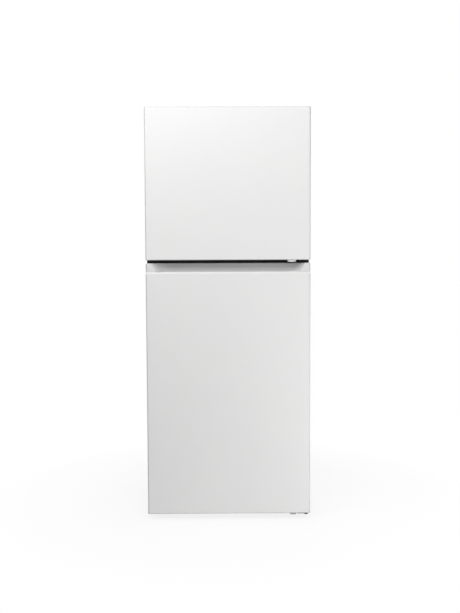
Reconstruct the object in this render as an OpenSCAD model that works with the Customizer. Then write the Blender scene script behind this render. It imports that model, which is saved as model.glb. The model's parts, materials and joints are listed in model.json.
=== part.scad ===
// Top freezer refrigerator, hinged on the right, with a scooped hand pocket above the lower door.
// Millimetres. X runs to the right, Y to the back and Z up, from the floor under the middle.

/* [Cabinet] */
// Width of the cabinet and of both doors
cabinet_w = 600; // [585:5:620]
// Height from the floor to the tops of the doors
overall_h = 1510; // [1500:5:1560]
// Depth from the door faces to the wall spacers
overall_d = 660; // [650:5:700]
// Height of the door tops above the cabinet top
hinge_well = 22; // [20:1:26]
// Thickness of the painted sheet steel
sheet_t = 1; // [0.8:0.1:1.2]
// Thickness of the moulded liners
liner_t = 1.5; // [1.2:0.1:2]
// Width of the steel flange round the front opening
flange_w = 28; // [26:1:30]
// Radius of the cabinet's upper long edges
cabinet_edge_r = 5; // [3:1:8]
// Width of the flange folded in round the cabinet's back
rear_flange_w = 14; // [10:1:18]
// Thickness of the wall spacers behind the back panel
spacer_t = 15; // [12:1:20]

/* [Insulation] */
// Side wall of the freezer compartment
freezer_wall = 55; // [50:1:60]
// Side wall of the fridge compartment
fridge_wall = 45; // [42:1:50]
// Ceiling over the freezer compartment
ceiling_wall = 58; // [50:1:64]
// Height of the divider between the compartments
divider_h = 66; // [64:1:70]
// Rear wall of the freezer compartment
freezer_rear_wall = 60; // [55:1:66]
// Rear wall of the fridge compartment
fridge_rear_wall = 47; // [42:1:52]

/* [Doors] */
// Height of the freezer door
freezer_door_h = 549.5; // [540:0.5:560]
// Thickness of each door without its gasket
door_t = 50; // [47:1:54]
// Gap between the two doors
door_gap = 11.5; // [11:0.5:15]
// Gap between the lower door and the floor
floor_gap = 23; // [22:1:27]
// Depth from the door liner to the cabinet face
gasket_t = 12; // [11:0.5:14]
// Radius of the upright front edges of the doors
door_edge_r = 6; // [3:1:8]
// Radius of the top and bottom front edges
door_end_r = 3; // [2:0.5:5]
// Radius of the corners of the doors, seen from the front
door_corner_r = 4; // [2:0.5:6]
// Radius of the lip under the hand pocket
lip_r = 7; // [4:0.5:8]
// Depth of the raised ring on each door liner
dyke_d = 28; // [22:1:30]
// Width of the raised ring on each door liner
dyke_w = 30; // [24:1:34]

/* [Handle cap] */
// Height of the handle cap above the lip
cap_rise = 31.5; // [28:0.5:34]
// Distance that the cap stands back from the door face
cap_setback = 5; // [3:0.5:7]
// Depth of the hand pocket from the door face to its ridge
pocket_d = 37; // [32:1:40]
// Drop of the pocket floor below the lip
pocket_drop = 12; // [6:1:16]
// Half width of the pocket at the top of the cap
pocket_top_x = 281; // [260:1:281]
// Half width of the pocket at the lip
pocket_lip_x = 266; // [240:1:272]
// Length of the curved ends of the pocket
pocket_end = 54; // [20:1:64]

/* [Hinges] */
// Distance of the hinge line from the right side
hinge_x_inset = 12; // [12:0.5:14]
// Distance of the hinge line behind the door faces
hinge_y_inset = 35; // [34:0.5:37]
// Radius of the hinge pins
pin_r = 4; // [3:0.25:4.5]
// Thickness of the hinge plates
hinge_plate_t = 3; // [2.5:0.25:3.5]

/* [Interior] */
// Height of the upper glass shelf above the fridge floor
upper_shelf_h = 606; // [560:5:640]
// Height of the lower glass shelf above the fridge floor
lower_shelf_h = 400; // [360:5:440]
// Height of the step over the machine compartment above the fridge floor
step_h = 196; // [190:1:206]
// Height of the wire shelf above the freezer floor
wire_shelf_h = 216; // [200:1:240]
// Thickness of the shelf glass
glass_t = 4; // [3:0.5:5]
// Gap between the two crisper drawers
crisper_gap = 12; // [8:1:20]
// Radius of the upright corners of the crisper drawers
crisper_r = 12; // [6:1:20]
// Depth of the door bins
bin_d = 106; // [90:1:108]
// Wall of the bins and drawers
bin_wall = 2.2; // [1.8:0.1:3]

/* [Machine compartment] */
// Depth of the machine compartment
machine_d = 203; // [190:1:206]
// Height of the machine compartment above the shell's lower edge
machine_h = 222; // [210:1:226]
// Radius of the compressor shell
compressor_r = 66; // [55:1:70]
// Height of the compressor shell
compressor_h = 152; // [130:1:156]

/* [Feet] */
// Radius of the pads of the levelling feet
foot_r = 18; // [14:1:20]
// Radius of the rear rollers
roller_r = 14; // [12:0.5:15]
// Width of the rear rollers
roller_w = 19; // [14:1:20]

/* [Hidden] */
$fn = 48;

white = [0.93, 0.93, 0.92];
liner_white = [0.96, 0.96, 0.95];
black = [0.08, 0.08, 0.08];
dark = [0.2, 0.2, 0.21];
zinc = [0.68, 0.69, 0.7];
copper = [0.72, 0.42, 0.25];
clear = [0.78, 0.88, 0.88, 0.6];
cream = [0.85, 0.83, 0.72];

// planes of the cabinet
side_x = cabinet_w / 2;
in_x = side_x - sheet_t;
front_y = -overall_d / 2;
door_back_y = front_y + door_t;
skin_back_y = door_back_y - liner_t;
cab_y0 = door_back_y + gasket_t;
cab_y1 = overall_d / 2 - spacer_t;
cab_z1 = overall_h - hinge_well;
panel_y = cab_y1 - sheet_t;
shell_z0 = 28;
base_z0 = shell_z0 + 1;
base_z1 = 60;
open_x = side_x - flange_w;
open_z0 = 62;
open_z1 = cab_z1 - flange_w;
machine_y0 = cab_y1 - machine_d;
machine_z1 = shell_z0 + machine_h;

// doors
freezer_z = [overall_h - freezer_door_h, overall_h];
fridge_z = [floor_gap, freezer_z[0] - door_gap];
lip_z = fridge_z[1] - cap_rise;
gap_z = freezer_z[0] - door_gap / 2;
hinge_x = side_x - hinge_x_inset;
hinge_y = front_y + hinge_y_inset;
bore_r = pin_r + 0.05;
return_w = 14;
turn_x = side_x - door_corner_r;
lip_return = 9;
top_cap_h = 55;
end_cap_h = 30;
handle_cap_z0 = lip_z - 31;
edge_steps = 8;

// compartments
freezer_x = side_x - freezer_wall;
freezer_space = [gap_z + divider_h / 2, cab_z1 - ceiling_wall];
freezer_back = cab_y1 - freezer_rear_wall;
fridge_x = side_x - fridge_wall;
fridge_space = [96, gap_z - divider_h / 2];
fridge_back = cab_y1 - fridge_rear_wall;
corner_r = 14;
step_z = fridge_space[0] + step_h;
step_low_y = machine_y0 - 36;
step_high_y = machine_y0 - 24;
cover_y = freezer_back - 60;
cover_t = 3;

// door liners
freezer_dyke_x = freezer_x - 17;
freezer_dyke_z = [freezer_space[0] + 14, freezer_space[1] - 14];
fridge_dyke_x = fridge_x - 18;
fridge_dyke_z = [fridge_space[0] + 14, fridge_space[1] - 14];
bin_side_gap = 1;
freezer_bin_x = freezer_dyke_x - dyke_w - bin_side_gap;
fridge_bin_x = fridge_dyke_x - dyke_w - bin_side_gap;
bin_y = [door_back_y + 2, door_back_y + 2 + bin_d];
// each bin is its bottom and its height
freezer_bins = [[freezer_dyke_z[0] + dyke_w + 18, 84], [mix(freezer_dyke_z[0], freezer_dyke_z[1], 0.56), 74]];
fridge_bins = [[fridge_dyke_z[0] + dyke_w + 18, 112], [mix(fridge_dyke_z[0], fridge_dyke_z[1], 0.41), 92],
  [mix(fridge_dyke_z[0], fridge_dyke_z[1], 0.69), 78]];
lug_w = 6;
lug_h = 8;

// gaskets
gasket_w = 14;
gasket_x = hinge_x;
gasket_gap = 0.3;
freezer_gasket_z = [gap_z + 18.25, cab_z1 - 4];
fridge_gasket_z = [shell_z0 + 8, gap_z - 17.75];

// shelves
ledge_w = 9;
ledge_h = 8;
shelf_front = cab_y0 + 118;
shelf_back = fridge_back - 18;
upper_shelf_z = fridge_space[0] + upper_shelf_h;
lower_shelf_z = fridge_space[0] + lower_shelf_h;
crisper_glass_z = step_z + 2;
wire_shelf_z = freezer_space[0] + wire_shelf_h;
wire_x = freezer_x - 5;

// crispers
runner_h = 4;
crisper_z = [fridge_space[0] + runner_h + 0.4, crisper_glass_z - 12];
crisper_y = [cab_y0 + 132, step_low_y - 6];
crisper_x = [crisper_gap / 2, fridge_x - 5];

// controls
control_x = 110;
control_y = [cab_y0 + 78, cab_y0 + 208];
control_z = fridge_space[1] - 30;
knob_x = -55;
knob_z = fridge_space[1] - 15;
knob_r = 12;
spindle_r = 3;
switch_x = 165;
switch_z = fridge_dyke_z[1] - 7;
switch_y = [cab_y0 + 33, cab_y0 + 78];
plunger_r = 4;
plunger_tip = door_back_y + dyke_d + gasket_gap;

// freezer fan and coil
fan_z = freezer_space[1] - 120;
fan_r = 44;
motor_y = [cover_y + 24, cover_y + 48];

// machine compartment
tray_z = [34, 36];
comp_x = 170 - side_x;
comp_y = (machine_y0 + cab_y1) / 2;
comp_z = tray_z[1] + 14;
seam_z = compressor_h * 0.46;
grommet_xy = [78, 54];

// feet and rollers
foot_x = side_x - 45;
foot_y = front_y + 95;
stem_r = 5;
boss_r = 11;
roller_x = side_x - 31;
roller_y = cab_y1 - 30;
axle_r = 3;
cheek_t = 2;

run_gap = 0.05;
lap = 1; // overlap that joins the solids of one piece

function arc(c, r, a0, a1, n = edge_steps) =
  [for (i = [0:n]) let (a = a0 + (a1 - a0) * i / n) [c[0] + r * cos(a), c[1] + r * sin(a)]];
function side(s, a, b) = s > 0 ? [a, b] : [-b, -a];
function smooth(t) = let (c = min(max(t, 0), 1)) c * c * (3 - 2 * c);
function mix(a, b, t) = a + (b - a) * t;
function unit(v) = v / norm(v);

module slab(x, y, z) translate([x[0], y[0], z[0]]) cube([x[1] - x[0], y[1] - y[0], z[1] - z[0]]);
module along_x(x0, x1) translate([x0, 0, 0]) rotate([90, 0, 90]) linear_extrude(x1 - x0) children();
module along_y(y0, y1) translate([0, y1, 0]) rotate([90, 0, 0]) linear_extrude(y1 - y0) children();
module along_z(z0, z1) translate([0, 0, z0]) linear_extrude(z1 - z0) children();
module rod_x(x0, x1, y, z, r) translate([x0, y, z]) rotate([0, 90, 0]) cylinder(h = x1 - x0, r = r);
module rod_y(y0, y1, x, z, r) translate([x, y1, z]) rotate([90, 0, 0]) cylinder(h = y1 - y0, r = r);
module rod_z(z0, z1, x, y, r) translate([x, y, z0]) cylinder(h = z1 - z0, r = r);

// Rectangle between two corners with all four corners rounded.
module round_rect(x, y, r)
  polygon(concat(
    arc([x[0] + r, y[0] + r], r, 180, 270), arc([x[1] - r, y[0] + r], r, 270, 360),
    arc([x[1] - r, y[1] - r], r, 0, 90), arc([x[0] + r, y[1] - r], r, 90, 180)));

// Straight run between two points.
module run(a, b, r) {
  d = b - a;
  translate(a) rotate([0, acos(d[2] / norm(d)), atan2(d[1], d[0])]) cylinder(h = norm(d), r = r);
}

// Quarter bend at corner p, coming in along a and leaving along b.
module bend(p, a, b, r, bend_r) {
  c = p - a * bend_r + b * bend_r;
  n = cross(-b, a);
  multmatrix([[-b[0], a[0], n[0], c[0]], [-b[1], a[1], n[1], c[1]], [-b[2], a[2], n[2], c[2]], [0, 0, 0, 1]])
    rotate_extrude(angle = 90) translate([bend_r, 0]) circle(r);
}

// Tube through square corners.
module tube(pts, r, bend_r) {
  last = len(pts) - 1;
  for (i = [0:last - 1]) {
    d = unit(pts[i + 1] - pts[i]);
    run(pts[i] + (i == 0 ? 0 : bend_r) * d, pts[i + 1] - (i == last - 1 ? 0 : bend_r) * d, r);
    if (i > 0) bend(pts[i], unit(pts[i] - pts[i - 1]), d, r, bend_r);
  }
}

// Cabinet cross section, drawn g inside the outer faces.
module cabinet_outline(g)
  polygon(concat(
    [[-side_x + g, shell_z0 - (g > 0 ? 2 : 0)], [side_x - g, shell_z0 - (g > 0 ? 2 : 0)]],
    arc([side_x - cabinet_edge_r, cab_z1 - cabinet_edge_r], cabinet_edge_r - g, 0, 90),
    arc([cabinet_edge_r - side_x, cab_z1 - cabinet_edge_r], cabinet_edge_r - g, 90, 180)));

module freezer_outline(g)
  round_rect([-freezer_x - g, freezer_x + g], [freezer_space[0] - g, freezer_space[1] + g], corner_r + g);

module fridge_outline(g)
  round_rect([-fridge_x - g, fridge_x + g], [fridge_space[0] - g, fridge_space[1] + g], corner_r + g);

// Hollow of the fridge compartment, drawn g outside its faces.
module fridge_hollow(y0, g) difference() {
  along_y(y0, fridge_back + g) fridge_outline(g);
  along_x(-side_x, side_x) polygon([
    [step_low_y + g, 0], [step_low_y + g, fridge_space[0]], [step_high_y + g, step_z - g],
    [cab_y1, step_z - g], [cab_y1, 0]]);
}

// Form of a door between the heights z, drawn g inside its faces. face is the whole height of the door.
module door_form(face, z, top_r, low_r, g, back) intersection() {
  along_y(front_y, back)
    round_rect([-side_x + g, side_x - g], [face[0] + g, face[1] - g], door_corner_r - g);
  along_z(z[0] + g, z[1] - g) polygon(concat(
    [[-side_x + g, back]],
    arc([door_edge_r - side_x, front_y + door_edge_r], door_edge_r - g, 180, 270),
    arc([side_x - door_edge_r, front_y + door_edge_r], door_edge_r - g, 270, 360),
    [[side_x - g, back]]));
  along_x(-side_x, side_x) polygon(concat(
    [[back, z[0] + g]],
    arc([front_y + low_r, z[0] + low_r], low_r - g, 270, 180),
    arc([front_y + top_r, z[1] - top_r], top_r - g, 180, 90),
    [[back, z[1] - g]]));
}

// Steel wrap of a door, turned in at its top and bottom edges.
module door_wrap(face, z, top_r, low_r, top_return) difference() {
  door_form(face, z, top_r, low_r, 0, skin_back_y);
  door_form(face, z, top_r, low_r, sheet_t, skin_back_y + 1);
  slab([-turn_x, turn_x], [front_y + top_return, skin_back_y + 1], [z[1] - 2 * sheet_t, z[1] + 1]);
  slab([-turn_x, turn_x], [front_y + return_w, skin_back_y + 1], [z[0] - 1, z[0] + 2 * sheet_t]);
}

// Plastic cap in the lower end of a door.
module low_cap(z, h) {
  intersection() {
    door_form(z, z, door_end_r, door_end_r, sheet_t, skin_back_y);
    slab([-side_x, side_x], [front_y, skin_back_y], [z[0], z[0] + h]);
  }
  slab([-turn_x, turn_x], [front_y + return_w, skin_back_y], [z[0], z[0] + sheet_t + lap]);
}

// Room for the top hinge arm over the whole swing.
module hinge_notch()
  slab([hinge_x - 14, side_x + 1], [hinge_y - 27, door_back_y + 1], [cab_z1 - 2, overall_h + 1]);

module pin_bore(z0, z1) rod_z(z0, z1, hinge_x, hinge_y, bore_r);

module dyke_ring(x, z, g, y0, y1) along_y(y0, y1) difference() {
  round_rect([-x + g, x - g], [z[0] + g, z[1] - g], 12 - g);
  round_rect([-x + dyke_w - g, x - dyke_w + g], [z[0] + dyke_w - g, z[1] - dyke_w + g], 6 + g);
}

// Moulded inner panel of a door with its raised ring and the lugs under the bins.
module door_liner(z, top, x, ring, bins, bin_x) {
  difference() {
    union() {
      along_y(skin_back_y, door_back_y)
        round_rect([-in_x, in_x], [z[0] + sheet_t, top], door_corner_r - sheet_t);
      dyke_ring(x, ring, 0, skin_back_y, door_back_y + dyke_d);
    }
    dyke_ring(x, ring, liner_t, skin_back_y - 1, door_back_y + dyke_d - liner_t);
  }
  for (b = bins, s = [-1, 1])
    slab(side(s, bin_x + bin_side_gap - lug_w, bin_x + bin_side_gap + lap),
      [door_back_y - lap, door_back_y + dyke_d - 4], [b[0] - lug_h, b[0]]);
}

module door_gasket(z) along_y(door_back_y, cab_y0 - gasket_gap) difference() {
  round_rect([-gasket_x, gasket_x], z, 8);
  round_rect([gasket_w - gasket_x, gasket_x - gasket_w], [z[0] + gasket_w, z[1] - gasket_w], 3);
}

module bin_plan(x, g) polygon(concat(
  [[-x + g, bin_y[0] + g]], [[x - g, bin_y[0] + g]],
  arc([x - 22, bin_y[1] - 22], 22 - g, 0, 90), arc([22 - x, bin_y[1] - 22], 22 - g, 90, 180)));

// Open door bin with a thickened rim.
module bin(x, b) difference() {
  union() {
    along_z(b[0], b[0] + b[1]) bin_plan(x - 1.5, 1.5);
    along_z(b[0] + b[1] - 8, b[0] + b[1]) bin_plan(x, 0);
    along_z(b[0] + 14, b[0] + 18) bin_plan(x, 0);
  }
  along_z(b[0] + bin_wall, b[0] + b[1] + 1) bin_plan(x - 1.5, 1.5 + bin_wall);
}

module cabinet_shell() color(white) difference() {
  along_y(cab_y0, cab_y1) cabinet_outline(0);
  along_y(cab_y0 + sheet_t, panel_y) cabinet_outline(sheet_t);
  slab([-open_x, open_x], [cab_y0 - 1, cab_y0 + 2 * sheet_t], [open_z0, open_z1]);
  slab([rear_flange_w - side_x, side_x - rear_flange_w], [panel_y - 1, cab_y1 + 1],
    [0, cab_z1 - rear_flange_w]);
}

module back_panel() color(zinc) {
  intersection() {
    along_y(panel_y - sheet_t, panel_y) cabinet_outline(sheet_t);
    slab([-side_x, side_x], [0, cab_y1], [machine_z1, cab_z1]);
  }
  slab([-in_x, in_x], [machine_y0 - sheet_t, panel_y], [machine_z1, machine_z1 + sheet_t]);
  slab([-in_x, in_x], [machine_y0 - sheet_t, machine_y0], [base_z1, machine_z1]);
  for (i = [0:6]) let (z = machine_z1 + 150 + i * 150)
    along_x(-230, 230) polygon([
      [panel_y - 0.5, z - 10], [panel_y, z - 10], [panel_y + 2.5, z - 5],
      [panel_y + 2.5, z + 5], [panel_y, z + 10], [panel_y - 0.5, z + 10]]);
}

coil_y = [-170, 190];
coil_z = [430, 1390];
coil_rows = 10;
coil_pitch = (coil_z[1] - coil_z[0] - 60) / coil_rows;

module cabinet_foam() color(cream) difference() {
  intersection() {
    along_y(cab_y0 + sheet_t, panel_y - sheet_t) cabinet_outline(sheet_t);
    slab([-side_x, side_x], [cab_y0, cab_y1], [base_z1, cab_z1]);
  }
  along_y(cab_y0, freezer_back + liner_t) freezer_outline(liner_t);
  fridge_hollow(cab_y0, liner_t);
  slab([-open_x, open_x], [cab_y0, cab_y0 + liner_t], [open_z0, open_z1]);
  slab([-in_x, in_x], [machine_y0 - sheet_t, cab_y1], [base_z1 - 1, machine_z1 + sheet_t]);
  for (s = [-1, 1])
    slab(side(s, in_x - 7, in_x + 1), [coil_y[0] - 10, coil_y[1] + 10], coil_z);
}

module condenser_coil() color(copper) for (s = [-1, 1]) {
  x = s * (in_x - 3);
  rows = [for (i = [0:coil_rows]) let (z = coil_z[0] + 30 + i * coil_pitch)
    each i % 2 == 0 ? [[x, coil_y[0], z], [x, coil_y[1], z]] : [[x, coil_y[1], z], [x, coil_y[0], z]]];
  tube(concat([[x, coil_y[0], coil_z[0]]], rows, [[x, coil_y[1], coil_z[1]]]), 2.5, 15);
}

// Shelf ledge moulded in the side wall at wall_x, with a sloping underside.
module ledge(s, wall_x, y, z) along_y(y[0], y[1]) polygon([
  [s * (wall_x + lap), z], [s * (wall_x - ledge_w), z], [s * (wall_x - ledge_w), z - 3],
  [s * (wall_x + lap), z - ledge_h - 6]]);

module freezer_liner() color(liner_white) {
  difference() {
    union() {
      along_y(cab_y0, freezer_back + liner_t) freezer_outline(liner_t);
      slab([-open_x, open_x], [cab_y0, cab_y0 + liner_t], [gap_z, open_z1]);
    }
    along_y(cab_y0 - 1, freezer_back) freezer_outline(0);
  }
  for (s = [-1, 1])
    ledge(s, freezer_x, [cab_y0 + 88, cover_y - 4], wire_shelf_z);
}

module fridge_liner() color(liner_white) {
  difference() {
    union() {
      fridge_hollow(cab_y0, liner_t);
      slab([-open_x, open_x], [cab_y0, cab_y0 + liner_t], [open_z0, gap_z]);
    }
    fridge_hollow(cab_y0 - 1, 0);
  }
  for (s = [-1, 1], z = [crisper_glass_z, lower_shelf_z, upper_shelf_z])
    ledge(s, fridge_x, [shelf_front + 16, z == crisper_glass_z ? step_low_y - 2 : shelf_back - 2], z);
  for (s = [-1, 1], x = [40, 200])
    slab(side(s, x, x + 6), [crisper_y[0] + 6, crisper_y[1]],
      [fridge_space[0] - lap, fridge_space[0] + runner_h]);
}

module mullion_rail() color(black)
  slab([0.5 - side_x, side_x - 0.5], [cab_y0 - 1.2, cab_y0], [gap_z - 14, gap_z + 14]);

module base_frame() color(dark) difference() {
  union() {
    slab([-in_x, in_x], [cab_y0 + sheet_t, machine_y0], [base_z1 - 2, base_z1]);
    slab([-in_x, in_x], [cab_y0 + sheet_t, cab_y0 + sheet_t + 2], [base_z0, base_z1]);
    slab([-in_x, in_x], [machine_y0 - 2, machine_y0], [base_z0, base_z1]);
    for (s = [-1, 1]) {
      slab(side(s, in_x - 2, in_x), [cab_y0 + sheet_t, machine_y0], [base_z0, base_z1]);
      slab(side(s, foot_x - 20, foot_x - 18), [cab_y0 + sheet_t, machine_y0], [base_z0 + 6, base_z1]);
      rod_z(base_z0 + 2, base_z1 - 1, s * foot_x, foot_y, boss_r);
    }
    slab([-in_x, in_x], [foot_y + 30, foot_y + 32], [base_z0 + 6, base_z1]);
  }
  for (s = [-1, 1]) rod_z(base_z0, base_z1 - 2, s * foot_x, foot_y, stem_r + run_gap);
}

module compressor_tray() color(zinc) {
  slab([-in_x, in_x], [machine_y0, cab_y1 - 2], tray_z);
  slab([-in_x, in_x], [cab_y1 - 4, cab_y1 - 2], [tray_z[0], 50]);
  for (s = [-1, 1]) slab(side(s, in_x - 2, in_x), [machine_y0, cab_y1 - 2], [tray_z[0], base_z1 + 2]);
  for (y = [machine_y0 + 30, cab_y1 - 34])
    slab([-in_x + 60, in_x - 60], [y - 5, y + 5], [tray_z[0] - 3, tray_z[0] + lap]);
}

module compressor() color(black) translate([comp_x, comp_y, comp_z]) {
  rotate_extrude() polygon(concat(
    [[0, 0]], arc([compressor_r - 24, 24], 24, -90, 0, 5),
    [[compressor_r, seam_z], [compressor_r + 3, seam_z],
      [compressor_r + 3, seam_z + 6], [compressor_r - 1, seam_z + 6]],
    arc([compressor_r - 37, compressor_h - 38], 34, 0, 90, 6), [[0, compressor_h]]));
  slab([-grommet_xy[0] - 14, grommet_xy[0] + 14], [-22, 22], [-4, 1]);
  for (s = [-1, 1])
    along_z(-4, 0) round_rect([s * grommet_xy[0] - 14, s * grommet_xy[0] + 14],
      [-grommet_xy[1] - 14, grommet_xy[1] + 14], 8);
  along_x(-compressor_r - 26, -compressor_r + 8) round_rect([-27, 27], [42, 98], 7);
  rod_x(compressor_r - 8, compressor_r + 14, 0, 110, 4);
  rod_x(compressor_r - 8, compressor_r + 14, 22, 40, 5);
}

module compressor_grommets() color(black)
  for (x = [-1, 1], y = [-1, 1])
    translate([comp_x + x * grommet_xy[0], comp_y + y * grommet_xy[1], tray_z[1]]) {
      cylinder(h = comp_z - 4 - tray_z[1], r = 8);
      cylinder(h = 4, r = 11);
    }

drier_x = 235;
line_z = [comp_z + 110, comp_z + 40];

module refrigerant_lines() color(copper) {
  tube([[comp_x + compressor_r + 14, comp_y, line_z[0]], [20, comp_y, line_z[0]],
    [20, comp_y, machine_z1 - 22], [drier_x, comp_y, machine_z1 - 22], [drier_x, comp_y, 186]], 3, 10);
  translate([drier_x, comp_y, 76]) rotate_extrude()
    polygon([[0, 0], [3, 0], [11, 12], [11, 98], [3, 110], [0, 110]]);
  tube([[drier_x, comp_y, 76], [drier_x, comp_y, 58], [drier_x, machine_y0 + 20, 58],
    [drier_x, machine_y0 + 20, machine_z1]], 2, 8);
  tube([[comp_x + compressor_r + 14, comp_y + 22, line_z[1]], [-20, comp_y + 22, line_z[1]],
    [-20, comp_y + 22, 180], [-20, machine_y0 + 30, 180], [-20, machine_y0 + 30, machine_z1]], 4, 12);
}

pan_x = [10, 200];
pan_y = [comp_y - 72, comp_y + 72];
pan_z = [tray_z[1], tray_z[1] + 30];
pan_t = 2;

module drain_pan() color(dark) difference() {
  along_z(pan_z[0], pan_z[1]) round_rect(pan_x, pan_y, 12);
  along_z(pan_z[0] + pan_t, pan_z[1] + 1)
    round_rect([pan_x[0] + pan_t, pan_x[1] - pan_t], [pan_y[0] + pan_t, pan_y[1] - pan_t], 12 - pan_t);
}

fin_x = 180;
fin_z = [freezer_space[0] + 22, freezer_space[0] + 206];
fin_y = [cover_y + 10, freezer_back - 6];
fins = 24;
fin_bend_x = fin_x + 14;

module evaporator() color(zinc) {
  for (i = [0:fins]) let (x = mix(-fin_x, fin_x, i / fins))
    slab([x - 0.5, x + 0.5], fin_y, fin_z);
  for (y = [fin_y[0] + 11, fin_y[1] - 11])
    tube([for (i = [0:5]) let (z = fin_z[0] + 16 + i * 30, x = i % 2 == 0 ? -fin_bend_x : fin_bend_x)
      each [[x, y, z], [-x, y, z]]], 4, 12);
  for (s = [-1, 1]) slab(side(s, fin_x - 2, fin_x), [fin_y[0], freezer_back], [fin_z[0] - 4, fin_z[1] + 4]);
}

cover_cut = [cover_y - 1, cover_y + cover_t + 1];
vent_x = [freezer_x - 135, freezer_x - 45];

module evaporator_cover() color(liner_white) difference() {
  union() {
    along_y(cover_y, cover_y + cover_t) freezer_outline(0);
    along_y(cover_y - 3, cover_y + lap) translate([0, fan_z]) difference() {
      circle(fan_r + 11);
      circle(fan_r + 6);
    }
  }
  for (i = [-7:7])
    slab([i * 26 - 8, i * 26 + 8], cover_cut, [freezer_space[0] + 14, freezer_space[0] + 20]);
  for (i = [0:4]) let (z = fan_z - 40 + i * 20, w = sqrt(pow(fan_r + 4, 2) - pow(z - fan_z, 2)))
    slab([-w, w], cover_cut, [z - 6, z + 6]);
  for (s = [-1, 1], i = [0:4])
    slab(side(s, vent_x[0], vent_x[1]), cover_cut, [fan_z - 34 + i * 16, fan_z - 28 + i * 16]);
}

module fan_motor() color(dark) {
  rod_y(motor_y[0], motor_y[1], 0, fan_z, 22);
  rod_y(motor_y[0] - 18, motor_y[0], 0, fan_z, 2);
  for (a = [45, 135]) translate([0, 0, fan_z]) rotate([0, a, 0])
    slab([-62, 62], [motor_y[1] - 6, motor_y[1] - 2], [-4, 4]);
  for (a = [45:90:315]) rod_y(cover_y + cover_t, motor_y[1] - 2, 62 * cos(a), fan_z + 62 * sin(a), 6);
}

blade_curve = 24;
blade_t = 1.6;
blade_turn = 26;

// Curved blades on a hub with a rounded nose.
module fan_blades() color(dark) difference() {
  union() {
    translate([0, motor_y[0] - 2, fan_z]) rotate([90, 0, 0]) rotate_extrude()
      polygon(concat([[0, 0], [13, 0]], arc([8, 9], 5, 0, 90, 4), [[0, 14]]));
    intersection() {
      for (i = [0:4]) translate([0, motor_y[0] - 9, fan_z]) rotate([0, i * 72, 0]) rotate([0, 0, 30])
        translate([0, -blade_curve, 10]) linear_extrude(fan_r) polygon(concat(
          arc([0, 0], blade_curve + blade_t / 2, 90 - blade_turn, 90 + blade_turn),
          arc([0, 0], blade_curve - blade_t / 2, 90 + blade_turn, 90 - blade_turn)));
      rod_y(motor_y[0] - 30, motor_y[0] + 30, 0, fan_z, fan_r - 2);
    }
  }
  rod_y(motor_y[0] - 19, motor_y[0] + 1, 0, fan_z, 2 + run_gap);
}

duct_x = 62;
duct_y = fridge_back - 16;
duct_t = 3;

module air_duct() color(liner_white) difference() {
  slab([-duct_x, duct_x], [duct_y, fridge_back], [crisper_glass_z + 60, fridge_space[1]]);
  slab([duct_t - duct_x, duct_x - duct_t], [duct_y + duct_t, fridge_back + 1],
    [crisper_glass_z + 60 + duct_t, fridge_space[1] - duct_t]);
  for (z = [lower_shelf_z - 40, lower_shelf_z + 110, upper_shelf_z + 70], i = [-1:1])
    slab([16 - duct_x, duct_x - 16], [duct_y - 1, duct_y + duct_t + 1], [z + i * 12 - 2.5, z + i * 12 + 2.5]);
}

module control_box() color(liner_white) {
  difference() {
    along_x(-control_x, control_x) polygon([
      [control_y[0], fridge_space[1]], [control_y[0], control_z + 2], [control_y[0] + 2, control_z],
      [control_y[1] - 16, control_z], [control_y[1], fridge_space[1] - 10], [control_y[1], fridge_space[1]]]);
    rod_y(control_y[0] - 1, control_y[0] + 12, knob_x, knob_z, spindle_r + run_gap);
  }
  difference() {
    slab([switch_x - 12, switch_x + 12], switch_y, [switch_z - 10, fridge_space[1]]);
    rod_y(switch_y[0] - 1, switch_y[1] - 4, switch_x, switch_z, plunger_r + run_gap);
  }
}

module thermostat_knob() color(zinc) {
  rod_y(control_y[0] - 12, control_y[0] - 0.5, knob_x, knob_z, knob_r);
  slab([knob_x - 2, knob_x + 2], [control_y[0] - 15, control_y[0] - 11],
    [knob_z - knob_r + 2, knob_z + knob_r - 2]);
  rod_y(control_y[0] - 1, control_y[0] + 10, knob_x, knob_z, spindle_r);
}

module door_switch() color(white) {
  rod_y(plunger_tip, plunger_tip + 34, switch_x, switch_z, plunger_r);
}

module lamp_lens() color(clear)
  along_x(-10, 86) polygon([
    [control_y[0] + 20, control_z], [control_y[0] + 26, control_z - 8],
    [control_y[0] + 84, control_z - 8], [control_y[0] + 90, control_z]]);

module glass(z) slab([2 - fridge_x, fridge_x - 2], [shelf_front + 4, shelf_back], [z, z + glass_t]);
module glass_shelf_upper() color(clear) glass(upper_shelf_z);
module glass_shelf_lower() color(clear) glass(lower_shelf_z);
module crisper_glass() color(clear) glass(crisper_glass_z);

module shelf_trims() color(liner_white)
  for (z = [crisper_glass_z, lower_shelf_z, upper_shelf_z]) {
    difference() {
      along_x(2 - fridge_x, fridge_x - 2) polygon([
        [shelf_front, z - 3], [shelf_front - 2, z], [shelf_front - 2, z + glass_t + 2],
        [shelf_front, z + glass_t + 4], [shelf_front + 14, z + glass_t + 3], [shelf_front + 14, z - 3]]);
      slab([-fridge_x, fridge_x], [shelf_front + 4, shelf_front + 20], [z, z + glass_t]);
    }
    for (s = [-1, 1])
      slab(side(s, z == crisper_glass_z ? 0 : duct_x + 4, fridge_x - 2), [shelf_back - 12, shelf_back],
        [z + glass_t, z + glass_t + 9]);
  }

module freezer_shelf() color(white) {
  y0 = cab_y0 + 90;
  y1 = cover_y - 8;
  z = wire_shelf_z + 2.5;
  n = 19;
  for (s = [-1, 1]) run([s * wire_x, y0, z], [s * wire_x, y1, z], 2.5);
  for (y = [y0, (y0 + y1) / 2, y1]) run([-wire_x, y, z], [wire_x, y, z], 2.4);
  for (i = [1:n - 1]) let (x = mix(-wire_x, wire_x, i / n))
    run([x, y0 - 2, z + 3], [x, y1 + 2, z + 3], 1.4);
}

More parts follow.
